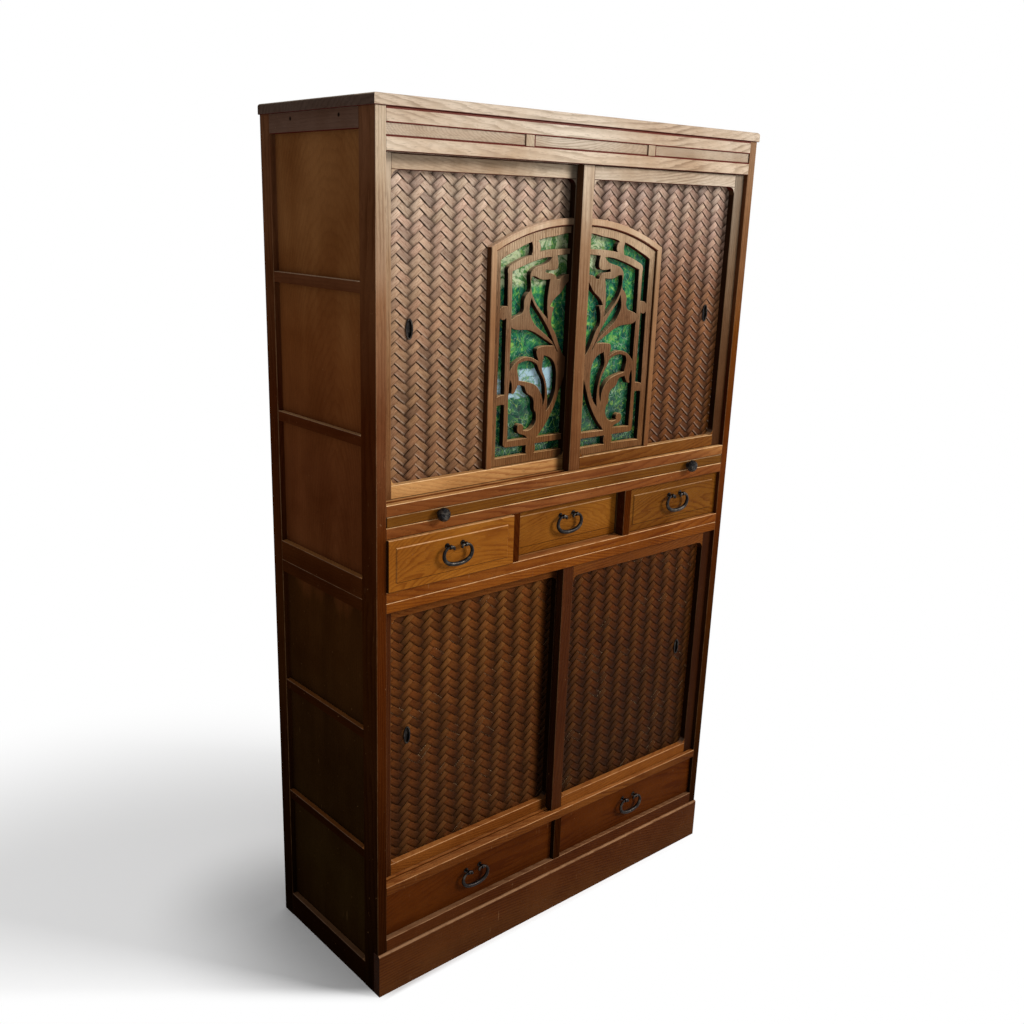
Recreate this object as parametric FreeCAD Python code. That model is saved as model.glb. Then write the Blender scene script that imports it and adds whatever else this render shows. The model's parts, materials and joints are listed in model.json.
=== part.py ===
import FreeCAD, Part
import math
import os

# Case, millimetres, x along the front, y from the front plane to the back, z up
case_width = 1008
case_depth = 380
post_width = 22
front_post_depth = 49
back_post_depth = 35
plinth_height = 100
plinth_thickness = 20
plinth_reach = 5
plinth_round = 5
bottom_rail_height = 28
base_drawer_opening = 105
lower_sill_height = 20
lower_door_opening = 594
lower_head_height = 20.5
upper_bottom_rail_height = 21.5
small_drawer_opening = 103
board_rail_height = 21.5
board_opening = 21
upper_sill_height = 22
upper_door_opening = 604
upper_head_height = 24.2
frieze_height = 19.5
top_rail_height = 25.3
top_thickness = 19
top_overhang = 3.4
top_round = 6
rail_thickness = 22
divider_width = 21
frieze_recess = 3
frieze_thickness = 10
edge_round = 1.5
seat_gap = 0.3
parallel_share = 0.001

# Sides, back, floors and shelves
panel_thickness = 8
panel_recess = 12
back_thickness = 10
back_inset = 4
side_top_rail_height = 34
side_batten_height = 20
side_batten_setback = 0.8
upper_side_foot_height = 41
lower_side_head_height = 25.5
lower_side_foot_height = 57
side_batten_shares = (0.331, 0.674)
board_thickness = 12
shelf_thickness = 15
shelf_setback = 8
upper_shelf_share = 0.48
lower_shelf_share = 0.49
partition_thickness = 12
divider_share = 0.341

# Sliding doors and their tracks
door_thickness = 19
front_track_recess = 9
track_gap = 1.5
door_overlap = 30
door_side_gap = 1
door_stile = 30
door_rail = 27
door_shoulder_gap = 0.8
tongue_thickness = 9
tongue_gap = 0.5
bottom_tongue = 3
top_tongue = 6
groove_relief = 0.6
opening_round = 15
panel_front_depth = 14
woven_thickness = 4
rebate_width = 6
track_back_lip = 4.5

# Arched window with its moulding, fretwork and glass
right_arch_half_width = 213.7
left_arch_half_width = 208.8
arch_crown_share = 0.7682
arch_rise_share = 0.1045
moulding_width = 14.5
moulding_depth = 13.5
moulding_round = 3
fret_thickness = 3
fret_proud = 8.5
fret_column_shift = 7.5
fret_lift = 1.5
glass_thickness = 2
fit_gap = 0.3
edge_share = 0.5

# Finger pulls
pull_height = 38
pull_width = 16
pull_rim = 2.8
pull_proud = 1.2
pull_depth = 3
pull_floor = 0.7
pull_inset = 49
pull_share = 0.51

# Pull-out board and its knobs
board_side_gap = 1.5
slide_gap = 0.3
board_rear_gap = 36
knob_spread = 720
knob_radius = 13.5
knob_reach = 22
knob_neck_radius = 5
knob_base_radius = 7
knob_base_thickness = 2
knob_neck_length = 5
knob_crown_share = 0.6
knob_heel_share = 0.3

# Drawers
front_thickness = 18
front_gap = 1
field_inset = 16
field_depth = 2
box_wall = 9
box_bottom = 6
box_top_gap = 9
drawer_stop_recess = 24
stop_gap = 0.6
small_left_out = 8
small_middle_out = -24
small_right_out = -7
base_left_out = -11
base_right_out = -9

# Bail handles
bail_wire_radius = 3
bail_half_span = 33
bail_drop = 36
bail_shoulder_radius = 9
bail_side_radius = 20
bail_end_inset = 6
eye_spread = 38
eye_radius = 4.8
eye_width = 4.5
eye_standoff = 11
eye_gap = 0.3
stem_radius = 2.2
rosette_radius = 5.5
rosette_thickness = 1
bail_height_share = 0.68

# Levels from the floor up
plinth_top = plinth_height
base_drawer_floor = plinth_top + bottom_rail_height
base_drawer_head = base_drawer_floor + base_drawer_opening
lower_sill_top = base_drawer_head + lower_sill_height
lower_head_foot = lower_sill_top + lower_door_opening
split_level = lower_head_foot + lower_head_height
small_drawer_floor = split_level + upper_bottom_rail_height
small_drawer_head = small_drawer_floor + small_drawer_opening
board_slot_floor = small_drawer_head + board_rail_height
board_slot_head = board_slot_floor + board_opening
upper_sill_top = board_slot_head + upper_sill_height
upper_head_foot = upper_sill_top + upper_door_opening
frieze_foot = upper_head_foot + upper_head_height
frieze_head = frieze_foot + frieze_height
case_head = frieze_head + top_rail_height
overall_height = case_head + top_thickness

# Places worked out from the sizes above
half_width = case_width / 2
opening_half = half_width - post_width
divider_centre = opening_half * divider_share
back_face = case_depth - back_inset - back_thickness
rear_track_recess = front_track_recess + door_thickness + track_gap
track_depth = rear_track_recess + door_thickness + track_back_lip
panel_outer = half_width - panel_recess
panel_inner = panel_outer - panel_thickness
door_left = -door_overlap / 2
door_right = opening_half - door_side_gap
front_reach = max(knob_reach, small_left_out + eye_standoff + eye_radius)
middle_y = (case_depth - front_reach) / 2
arch_crown_height = upper_door_opening * arch_crown_share
arch_rise = arch_crown_height * arch_rise_share

# Gaps of the vine fretwork, in columns and rows of its drawing grid
fret_grid_share = 1 / 464
slot_shares = [
    [[(20, 420), (20, 445), (60, 442), (90, 438), (110, 433)], [(104, 428), (102, 420), (104, 413)], [(85, 416), (60, 418), (20, 420)]],
    [[(20, 17), (98, 17)], [(96, 26), (98, 35)], [(20, 35)], [(20, 17)]],
    [[(127, 430), (150, 422), (175, 411), (195, 402), (203, 397)], [(203, 308)], [(196, 312), (184, 313)], [(185, 372)],
     [(183, 386), (170, 393), (150, 401), (127, 407)], [(124, 418), (127, 430)]],
    [[(186, 143), (195, 142), (203, 140)], [(203, 289)], [(196, 286), (186, 288)], [(186, 143)]],
    [[(122, 17), (203, 17)], [(203, 120)], [(195, 122), (185, 121)], [(185, 48)], [(183, 38), (174, 35)], [(122, 35)], [(124, 26), (122, 17)]],
]
vine_gap_shares = [
    [[(20, 49), (93, 49)], [(84, 57), (72, 70), (62, 84), (52, 100), (45, 114), (38, 132), (30, 152), (20, 176)], [(20, 49)]],
    [[(70, 101), (61, 111), (53, 126), (48, 144), (47, 162), (48, 178), (52, 191), (59, 201), (70, 208), (82, 211)],
     [(85, 198), (85, 184), (79, 172), (74, 160), (70, 145), (68, 128), (68, 113), (70, 101)]],
    [[(81, 110), (77, 124), (76, 138), (78, 153), (83, 166), (91, 177), (97, 187), (100, 194)],
     [(112, 201), (125, 204), (138, 203), (149, 200)], [(152, 192), (150, 180), (147, 168)],
     [(138, 166), (128, 164), (116, 161), (105, 157), (97, 151), (90, 143), (84, 133), (81, 122), (81, 110)]],
    [[(122, 49), (172, 49)], [(173, 100), (173, 147), (172, 160), (170, 168)], [(166, 156), (168, 143)],
     [(160, 142), (154, 149), (150, 157)], [(140, 156), (133, 153), (129, 145), (122, 137), (113, 132), (107, 124), (106, 112), (100, 99)],
     [(98, 88), (101, 77), (110, 68), (121, 65), (131, 67)], [(131, 75), (137, 80), (145, 79), (149, 71), (146, 62), (136, 57), (127, 54), (122, 49)]],
    [[(58, 231), (75, 232), (92, 231), (102, 227), (104, 219), (101, 210), (98, 203)],
     [(110, 209), (125, 213), (140, 212), (155, 206), (165, 198), (173, 188)], [(173, 271)],
     [(165, 267), (150, 265), (130, 264), (115, 260), (100, 253), (85, 245), (70, 237), (58, 231)]],
    [[(46, 216), (52, 227), (58, 237), (66, 251), (76, 266), (87, 280), (98, 293), (108, 304), (116, 314), (122, 326)],
     [(125, 312), (125, 300), (119, 287), (110, 275), (100, 267), (88, 259), (75, 250), (63, 240), (54, 229), (46, 216)]],
    [[(77, 285), (84, 291), (95, 301), (105, 311), (114, 323), (121, 337), (124, 351), (123, 365)],
     [(112, 365), (103, 361), (90, 359), (75, 360)], [(78, 342), (80, 325), (80, 305), (77, 285)]],
    [[(20, 204), (20, 356)], [(28, 352), (34, 345), (39, 338), (47, 331), (56, 325), (64, 318), (70, 308)], [(60, 307)],
     [(64, 295), (66, 281), (64, 269), (57, 260), (50, 248), (44, 235), (37, 222), (29, 211), (20, 204)]],
    [[(72, 402), (100, 399), (120, 394), (140, 388), (160, 381), (173, 376)], [(173, 288)],
     [(166, 291), (158, 294), (148, 297), (142, 306), (142, 320), (137, 331), (129, 338)],
     [(126, 349), (128, 361), (128, 371), (120, 381), (105, 387), (88, 391), (72, 402)]],
    [[(20, 370), (20, 408)], [(56, 405)], [(54, 396), (53, 387), (56, 380), (64, 377), (76, 377), (87, 378)], [(87, 374)],
     [(76, 373), (66, 371), (59, 367), (56, 361)], [(50, 361), (43, 366), (34, 369), (20, 370)]],
]


def point(x, y, z):
    return FreeCAD.Vector(x, y, z)


def box(x0, x1, y0, y1, z0, z1):
    return Part.makeBox(x1 - x0, y1 - y0, z1 - z0, point(x0, y0, z0))


def eased(shape, axis, radius):
    # Rounds only the edges that run along one axis, so that end faces stay full
    edges = []
    for edge in shape.Edges:
        along = edge.Vertexes[-1].Point - edge.Vertexes[0].Point
        along = along / along.Length
        if abs(abs((along.x, along.y, along.z)[axis]) - 1) < parallel_share:
            edges.append(edge)
    return shape.makeFillet(radius, edges)


def rail(x0, x1, y0, y1, z0, z1):
    return eased(box(x0, x1, y0, y1, z0, z1), 0, edge_round)


def upright(x0, x1, y0, y1, z0, z1):
    return eased(box(x0, x1, y0, y1, z0, z1), 2, edge_round)


def side_bar(x0, x1, y0, y1, z0, z1):
    return eased(box(x0, x1, y0, y1, z0, z1), 1, edge_round)


def mirrored(shape):
    return shape.mirror(point(0, 0, 0), point(1, 0, 0))


def both_sides(shape):
    return [shape, mirrored(shape)]


def save(name, shapes):
    shapes = shapes if isinstance(shapes, list) else [shapes]
    whole = shapes[0] if len(shapes) == 1 else Part.makeCompound(shapes)
    whole = whole.copy()
    whole.translate(point(0, -middle_y, 0))
    whole.exportStep("parts/" + name + ".step")
    print(name, len(whole.Solids), "solids", round(whole.Volume), "mm3")


def track_cuts(level, depth, upward):
    # The two grooves that the door tongues run in
    low, high = (level, level + depth) if upward else (level - depth, level)
    cuts = []
    for recess in (front_track_recess, rear_track_recess):
        start = recess + (door_thickness - tongue_thickness) / 2 - tongue_gap
        cuts.append(box(-opening_half, opening_half, start, start + tongue_thickness + tongue_gap + tongue_gap, low, high))
    return cuts


def track_rail(foot, head, groove_level, groove_depth, upward):
    blank = rail(-opening_half, opening_half, 0, track_depth, foot, head)
    for cut in track_cuts(groove_level, groove_depth, upward):
        blank = blank.cut(cut)
    return blank


def front_rails_upper():
    rails = [rail(-opening_half, opening_half, 0, rail_thickness, frieze_head, case_head)]
    top_groove = top_tongue + door_shoulder_gap + groove_relief
    bottom_groove = bottom_tongue + groove_relief
    rails.append(track_rail(upper_head_foot, frieze_foot, upper_head_foot, top_groove, True))
    rails.append(track_rail(board_slot_head, upper_sill_top, upper_sill_top, bottom_groove, False))
    rails.append(rail(-opening_half, opening_half, 0, rail_thickness, small_drawer_head, board_slot_floor))
    rails.append(rail(-opening_half, opening_half, 0, rail_thickness, split_level, small_drawer_floor))
    return rails


def front_rails_lower():
    top_groove = top_tongue + door_shoulder_gap + groove_relief
    bottom_groove = bottom_tongue + groove_relief
    rails = [track_rail(lower_head_foot, split_level, lower_head_foot, top_groove, True)]
    rails.append(track_rail(base_drawer_head, lower_sill_top, lower_sill_top, bottom_groove, False))
    rails.append(rail(-opening_half, opening_half, 0, rail_thickness, plinth_top, base_drawer_floor))
    return rails


def posts(foot, head, notch):
    front = upright(opening_half, half_width, 0, front_post_depth, foot, head)
    if notch:
        front = front.cut(box(opening_half, half_width, 0, plinth_thickness - plinth_reach, foot, plinth_top))
    back = upright(opening_half, half_width, case_depth - back_post_depth, case_depth, foot, head)
    return both_sides(front) + both_sides(back)


def front_dividers():
    made = []
    for centre in (-divider_centre, divider_centre):
        x0 = centre - divider_width / 2
        x1 = centre + divider_width / 2
        made.append(upright(x0, x1, 0, rail_thickness, frieze_foot, frieze_head))
        made.append(upright(x0, x1, 0, rail_thickness, small_drawer_floor, small_drawer_head))
    made.append(upright(-divider_width / 2, divider_width / 2, 0, rail_thickness, base_drawer_floor, base_drawer_head))
    return made


def frieze_panels():
    inner = divider_centre - divider_width / 2
    outer = divider_centre + divider_width / 2
    back = frieze_recess + frieze_thickness
    middle = box(-inner, inner, frieze_recess, back, frieze_foot, frieze_head)
    side = box(outer, opening_half, frieze_recess, back, frieze_foot, frieze_head)
    return [middle] + both_sides(side)


def side_rails(foot, head, foot_height, head_height):
    y0 = front_post_depth
    y1 = case_depth - back_post_depth
    made = both_sides(side_bar(opening_half, half_width, y0, y1, head - head_height, head))
    made += both_sides(side_bar(opening_half, half_width, y0, y1, foot, foot + foot_height))
    low = foot + foot_height
    high = head - head_height
    for share in side_batten_shares:
        centre = low + (high - low) * share
        batten = box(panel_outer, half_width - side_batten_setback, y0, y1,
                     centre - side_batten_height / 2, centre + side_batten_height / 2)
        made += both_sides(eased(batten, 1, edge_round))
    return made


def side_panels():
    y0 = front_post_depth
    y1 = case_depth - back_post_depth
    upper = box(panel_inner, panel_outer, y0, y1, split_level + upper_side_foot_height, case_head - side_top_rail_height)
    lower = box(panel_inner, panel_outer, y0, y1, lower_side_foot_height, split_level - lower_side_head_height)
    return both_sides(upper) + both_sides(lower)


def back_panels():
    y1 = back_face + back_thickness
    upper = box(-opening_half, opening_half, back_face, y1, split_level, case_head)
    lower = box(-opening_half, opening_half, back_face, y1, lower_side_foot_height / 2, split_level)
    return [upper, lower]


def floor_boards():
    made = []
    for level in (base_drawer_floor, lower_sill_top, small_drawer_floor, board_slot_floor, upper_sill_top):
        start = track_depth if level in (lower_sill_top, upper_sill_top) else rail_thickness
        made.append(box(-opening_half, opening_half, start, back_face, level - board_thickness, level))
    made.append(box(-opening_half, opening_half, track_depth, back_face, split_level - board_thickness, split_level))
    return made


def shelves():
    made = []
    for low, high, share in ((upper_sill_top, upper_head_foot, upper_shelf_share),
                             (lower_sill_top, lower_head_foot, lower_shelf_share)):
        level = low + (high - low) * share
        made.append(rail(-opening_half, opening_half, track_depth + shelf_setback, back_face, level, level + shelf_thickness))
    return made


def partitions():
    made = []
    half = partition_thickness / 2
    for centre in (-divider_centre, divider_centre):
        made.append(box(centre - half, centre + half, rail_thickness, back_face,
                        small_drawer_floor, board_slot_floor - board_thickness))
    base = box(-half, half, rail_thickness, back_face, base_drawer_floor, lower_sill_top - board_thickness)
    made.append(base.cut(box(-half, half, rail_thickness, track_depth, base_drawer_head, lower_sill_top)))
    return made


def plinth():
    blank = box(-half_width, half_width, -plinth_reach, plinth_thickness - plinth_reach, 0, plinth_top)
    corner = [edge for edge in blank.Edges
              if abs(edge.CenterOfMass.y + plinth_reach) < edge_round and abs(edge.CenterOfMass.z - plinth_top) < edge_round]
    return blank.makeFillet(plinth_round - seat_gap, corner)


def top_board():
    reach = half_width + top_overhang
    blank = box(-reach, reach, -top_overhang, case_depth, case_head, overall_height)
    upper = [edge for edge in blank.Edges if edge.CenterOfMass.z > overall_height - seat_gap
             and edge.CenterOfMass.y < case_depth - seat_gap]
    blank = blank.makeFillet(top_round, upper)
    lower = [edge for edge in blank.Edges if edge.CenterOfMass.z < case_head + seat_gap
             and edge.CenterOfMass.y < case_depth - seat_gap]
    return blank.makeFillet(edge_round, lower)


def rounded_opening(x0, x1, z0, z1, y0, y1):
    return eased(box(x0, x1, y0, y1, z0, z1), 1, opening_round)


def outline_face(runs, y):
    # Each run is a smooth curve, or a line where it has two points, and the runs meet at corners
    edges = []
    last = None
    for run in runs:
        places = [point(x, y, z) for x, z in run]
        if last is not None:
            places = [last] + places
        if len(places) == 2:
            edges.append(Part.LineSegment(places[0], places[1]).toShape())
        elif len(places) > 2:
            curve = Part.BSplineCurve()
            curve.interpolate(places)
            edges.append(curve.toShape())
        last = places[-1]
    return Part.Face(Part.Wire(edges))


def arch_region(half, spring, crown, y0, y1, low, left):
    # A window shape: straight leg on the right, segmental arch on top, cut off at the meeting stile
    rise = crown - spring
    radius = (half * half + rise * rise) / (rise + rise)
    centre = crown - radius
    crown_left = centre + math.sqrt(radius * radius - left * left)
    middle_x = (half + left) / 2
    middle_z = centre + math.sqrt(radius * radius - middle_x * middle_x)
    edges = [
        Part.LineSegment(point(left, y0, low), point(half, y0, low)).toShape(),
        Part.LineSegment(point(half, y0, low), point(half, y0, spring)).toShape(),
        Part.Arc(point(half, y0, spring), point(middle_x, y0, middle_z), point(left, y0, crown_left)).toShape(),
        Part.LineSegment(point(left, y0, crown_left), point(left, y0, low)).toShape(),
    ]
    return Part.Face(Part.Wire(edges)).extrude(point(0, y1 - y0, 0))


def window_region(arch_half, sill, grow, y0, y1, low, left):
    # The moulding's inner outline, moved outwards by grow shares of its width
    crown = sill + arch_crown_height + moulding_width * grow
    drop = arch_rise
    half = arch_half + moulding_width * grow
    spring = crown - drop * (half * half) / (arch_half * arch_half)
    return arch_region(half, spring, crown, y0, y1, low, left)


def oval(centre_x, centre_z, half_x, half_z, y0, y1):
    ring = Part.Ellipse(point(centre_x, y0, centre_z + half_z), point(centre_x + half_x, y0, centre_z),
                        point(centre_x, y0, centre_z))
    return Part.Face(Part.Wire([ring.toShape()])).extrude(point(0, y1 - y0, 0))


def finger_pull(centre_x, centre_z, face):
    half_x = pull_width / 2
    half_z = pull_height / 2
    neck_x = half_x - pull_rim / 2
    neck_z = half_z - pull_rim / 2
    rim = oval(centre_x, centre_z, half_x, half_z, face - pull_proud, face)
    cup = oval(centre_x, centre_z, neck_x, neck_z, face, face + pull_depth + pull_floor)
    bowl = oval(centre_x, centre_z, half_x - pull_rim, half_z - pull_rim, face - pull_proud, face + pull_depth)
    return rim.fuse(cup).cut(bowl).removeSplitter()


def pull_hole(centre_x, centre_z, face):
    neck_x = (pull_width - pull_rim) / 2 + fit_gap
    neck_z = (pull_height - pull_rim) / 2 + fit_gap
    return oval(centre_x, centre_z, neck_x, neck_z, face, face + woven_thickness)


def fretwork(arch_half, sill, y, low, left):
    front = y - fret_proud
    blank = window_region(arch_half, sill, edge_share, front, y + fret_thickness, low, left)
    grid = arch_crown_height * fret_grid_share
    for runs in slot_shares + vine_gap_shares:
        scaled = []
        for run in runs:
            scaled.append([(column * grid - fret_column_shift, sill + row * grid + fret_lift) for column, row in run])
        blank = blank.cut(outline_face(scaled, front).extrude(point(0, fret_proud + fret_thickness, 0)))
    return blank


def door(name, foot, head, recess, left_hand, arch_half):
    # The door is drawn as the right-hand one, and mirrored for the left
    low = foot + door_shoulder_gap
    high = head - door_shoulder_gap
    back = recess + door_thickness
    tongue_start = recess + (door_thickness - tongue_thickness) / 2
    open_left = door_left + door_stile
    open_right = door_right - door_stile
    open_foot = foot + door_rail
    open_head = head - door_rail
    panel_face = recess + panel_front_depth
    stile_left = upright(door_left, open_left, recess, back, low, high)
    stile_right = upright(open_right, door_right, recess, back, low, high)
    ring_cut = rounded_opening(open_left, open_right, open_foot, open_head, recess, back)
    rebate = box(open_left - rebate_width, open_right + rebate_width, panel_face, back,
                 open_foot - rebate_width, open_head + rebate_width)
    low_rail = rail(open_left, open_right, recess, back, low, open_foot)
    high_rail = rail(open_left, open_right, recess, back, open_head, high)
    low_blank = box(open_left, open_right, recess, back, open_foot, open_foot + opening_round).cut(ring_cut)
    high_blank = box(open_left, open_right, recess, back, open_head - opening_round, open_head).cut(ring_cut)
    low_rail = low_rail.fuse(low_blank)
    high_rail = high_rail.fuse(high_blank)
    low_tongue = box(door_left, door_right, tongue_start, tongue_start + tongue_thickness, foot - bottom_tongue, low)
    high_tongue = box(door_left, door_right, tongue_start, tongue_start + tongue_thickness, high, head + top_tongue)
    stiles = []
    for stile, x0, x1 in ((stile_left, door_left, open_left), (stile_right, open_right, door_right)):
        slot = box(x0, x1, recess, back, foot - bottom_tongue, head + top_tongue)
        stiles.append(stile.fuse(low_tongue.common(slot)).fuse(high_tongue.common(slot)).cut(rebate).removeSplitter())
    middle = box(open_left, open_right, recess, back, foot - bottom_tongue, head + top_tongue)
    rails = [low_rail.fuse(low_tongue.common(middle)).cut(rebate).removeSplitter(),
             high_rail.fuse(high_tongue.common(middle)).cut(rebate).removeSplitter()]
    seat = rebate_width - fit_gap
    woven = box(open_left - seat, open_right + seat, panel_face, panel_face + woven_thickness,
                open_foot - seat, open_head + seat)
    pull_x = open_right - pull_inset
    pull_z = open_foot + (open_head - open_foot) * pull_share
    woven = woven.cut(pull_hole(pull_x, pull_z, panel_face))
    pieces = {"stiles": stiles, "rails": rails, "pull": finger_pull(pull_x, pull_z, panel_face)}
    if arch_half:
        glass_face = panel_face + fret_thickness
        hole = window_region(arch_half, open_foot, edge_share, panel_face, panel_face + woven_thickness,
                             open_foot - rebate_width, open_left - rebate_width)
        woven = woven.cut(hole)
        inner = edge_share - fit_gap / moulding_width
        pane = window_region(arch_half, open_foot, inner, glass_face, glass_face + glass_thickness, open_foot - seat, open_left - seat)
        trim = window_region(arch_half, open_foot, inner, panel_face, glass_face, open_foot - seat, open_left - seat)
        proud = window_region(arch_half, open_foot, -fit_gap / moulding_width, panel_face - fret_proud, panel_face,
                              open_foot + fit_gap, open_left + fit_gap)
        corner = rounded_opening(open_left + fit_gap, open_right, open_foot + fit_gap, open_head,
                                 panel_face - fret_proud, panel_face)
        trim = trim.fuse(proud.common(corner))
        pieces["fretwork"] = fretwork(arch_half, open_foot, panel_face, open_foot - seat, open_left - seat).common(trim)
        pieces["glass"] = pane
        front = panel_face - moulding_depth
        outer = window_region(arch_half, open_foot, 1, front, panel_face, open_foot, open_left)
        moulding = outer.cut(window_region(arch_half, open_foot, 0, front, panel_face, open_foot, open_left))
        pieces["arch_moulding"] = moulded(moulding, front)
    pieces["woven_panel"] = woven
    for part_name, shape in pieces.items():
        shapes = shape if isinstance(shape, list) else [shape]
        if left_hand:
            shapes = [mirrored(item) for item in shapes]
        save(name + "_" + part_name, shapes)


def moulded(shape, front):
    # Rounds the two long front edges of the arch moulding
    edges = [edge for edge in shape.Edges
             if abs(edge.BoundBox.YMax - front) < seat_gap and edge.Length > moulding_width + moulding_round]
    return shape.makeFillet(moulding_round, edges)


def pull_out_board():
    half = opening_half - board_side_gap
    low = board_slot_floor + slide_gap
    high = board_slot_head - slide_gap
    return rail(-half, half, 0, back_face - board_rear_gap, low, high)


def knob():
    # A turned spool knob: flat base, short neck and round head
    centre_z = (board_slot_floor + board_slot_head) / 2
    shoulder = knob_base_thickness + knob_neck_length
    base = Part.makeCylinder(knob_base_radius, knob_base_thickness, point(0, 0, 0), point(0, -1, 0))
    neck = Part.makeCylinder(knob_neck_radius, shoulder + knob_neck_radius, point(0, 0, 0), point(0, -1, 0))
    head_length = knob_reach - shoulder
    head = Part.makeCylinder(knob_radius, head_length, point(0, -shoulder, 0), point(0, -1, 0))
    rims = [edge for edge in head.Edges if edge.Length > knob_radius * 6]
    rims = sorted(rims, key=lambda edge: edge.CenterOfMass.y)
    head = head.makeFillet(head_length * knob_crown_share, [rims[0]])
    rims = [edge for edge in head.Edges if abs(edge.BoundBox.YMin + shoulder) < seat_gap and edge.Length > knob_radius * 6]
    head = head.makeFillet(head_length * knob_heel_share, rims)
    whole = base.fuse(neck).fuse(head).removeSplitter()
    whole.translate(point(knob_spread / 2, 0, centre_z))
    return both_sides(whole)



def drawer_front(x0, x1, z0, z1, face, field):
    if not field:
        return rail(x0, x1, face, face + front_thickness, z0, z1)
    plate = rail(x0, x1, face + field_depth, face + front_thickness, z0, z1)
    raised = box(x0 + field_inset, x1 - field_inset, face, face + field_depth + edge_round, z0 + field_inset, z1 - field_inset)
    edges = [edge for edge in raised.Edges if abs(edge.BoundBox.YMax - face) < seat_gap]
    raised = raised.makeChamfer(field_depth - seat_gap, edges)
    return plate.fuse(raised).removeSplitter()


def drawer_box(x0, x1, z0, z1, start, end):
    outer = box(x0, x1, start, end, z0, z1)
    hollow = box(x0 + box_wall, x1 - box_wall, start + box_wall, end - box_wall, z0 + box_bottom, z1)
    return outer.cut(hollow)


def bail(centre_x, axis_y, axis_z):
    # Two tangent arcs on each side lead from the shoulder to the lowest point
    side_x = bail_half_span - bail_side_radius
    depth = bail_drop - bail_shoulder_radius
    gap = depth - bail_side_radius
    low_radius = (side_x * side_x + depth * depth - bail_side_radius * bail_side_radius) / (gap + gap)
    low_centre = -bail_drop + low_radius
    turn = math.atan2(side_x, low_centre + bail_shoulder_radius)
    join = point(side_x + bail_side_radius * math.sin(turn), 0, -bail_shoulder_radius - bail_side_radius * math.cos(turn))
    half_turn = (math.pi / 2 - turn) / 2
    side_mid = point(side_x + bail_side_radius * math.cos(half_turn), 0,
                     -bail_shoulder_radius - bail_side_radius * math.sin(half_turn))
    low_mid = point(low_radius * math.sin(turn / 2), 0, low_centre - low_radius * math.cos(turn / 2))
    corner_x = bail_half_span - bail_shoulder_radius
    diagonal = bail_shoulder_radius * math.sqrt(1 / 2)
    inner_x = eye_spread / 2 - eye_width / 2 - bail_end_inset
    places = [
        [point(inner_x, 0, 0), point(corner_x, 0, 0)],
        [point(corner_x, 0, 0), point(corner_x + diagonal, 0, diagonal - bail_shoulder_radius),
         point(bail_half_span, 0, -bail_shoulder_radius)],
        [point(bail_half_span, 0, -bail_shoulder_radius), side_mid, join],
        [join, low_mid, point(0, 0, -bail_drop)],
    ]
    edges = []
    for run in places:
        if len(run) == 2:
            edges.append(Part.LineSegment(run[0], run[1]).toShape())
        else:
            edges.append(Part.Arc(run[0], run[1], run[2]).toShape())
    path = Part.Wire(edges)
    ring = Part.Wire([Part.makeCircle(bail_wire_radius, point(inner_x, 0, 0), point(1, 0, 0))])
    half = path.makePipeShell([ring], True, False)
    length = sum(edge.Length for edge in edges)
    print("bail half", round(half.Volume), "of", round(length * math.pi * bail_wire_radius * bail_wire_radius), "mm3")
    whole = half.fuse(mirrored(half)).removeSplitter()
    whole.translate(point(centre_x, axis_y, axis_z))
    return whole


def bail_posts(centre_x, face, axis_y, axis_z):
    made = []
    for side in (-1, 1):
        x = centre_x + side * eye_spread / 2
        rosette = Part.makeCylinder(rosette_radius, rosette_thickness, point(x, face, axis_z), point(0, -1, 0))
        stem = Part.makeCylinder(stem_radius, face - axis_y, point(x, face, axis_z), point(0, -1, 0))
        eye = Part.makeCylinder(eye_radius, eye_width, point(x - eye_width / 2, axis_y, axis_z), point(1, 0, 0))
        hole = Part.makeCylinder(bail_wire_radius + eye_gap, eye_width, point(x - eye_width / 2, axis_y, axis_z), point(1, 0, 0))
        made.append(rosette.fuse(stem).fuse(eye).cut(hole).removeSplitter())
    return made


def drawer(name, x0, x1, floor, opening, out, field):
    # A drawer in its opening, standing out of the front plane by its own small amount
    face = -out
    front = drawer_front(x0 + front_gap, x1 - front_gap, floor + front_gap, floor + opening - front_gap, face, field)
    start = face + front_thickness
    end = back_face - stop_gap - drawer_stop_recess - out
    box_shape = drawer_box(x0 + front_gap, x1 - front_gap, floor + slide_gap, floor + opening - box_top_gap, start, end)
    axis_z = floor + opening * bail_height_share
    axis_y = face - eye_standoff
    centre_x = (x0 + x1) / 2
    save(name + "_front", front)
    save(name + "_box", box_shape)
    save(name + "_bail_posts", bail_posts(centre_x, face, axis_y, axis_z))
    save(name + "_bail", bail(centre_x, axis_y, axis_z))
    print(name, "bail axis", centre_x, round(axis_y - middle_y, 3), round(axis_z, 3), "front face", face - middle_y, "box", start - middle_y, end - middle_y)


def case():
    save("top_board", top_board())
    save("upper_posts", posts(split_level, case_head, False))
    save("upper_front_rails", front_rails_upper())
    save("front_dividers", front_dividers())
    save("frieze_panels", frieze_panels())
    save("upper_side_rails", side_rails(split_level, case_head, upper_side_foot_height, side_top_rail_height))
    save("side_panels", side_panels())
    save("back_panels", back_panels())
    save("floor_boards", floor_boards())
    save("shelves", shelves())
    save("partitions", partitions())
    save("lower_posts", posts(0, split_level, True))
    save("lower_front_rails", front_rails_lower())
    save("lower_side_rails", side_rails(0, split_level, lower_side_foot_height, lower_side_head_height))
    save("plinth", plinth())


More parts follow.
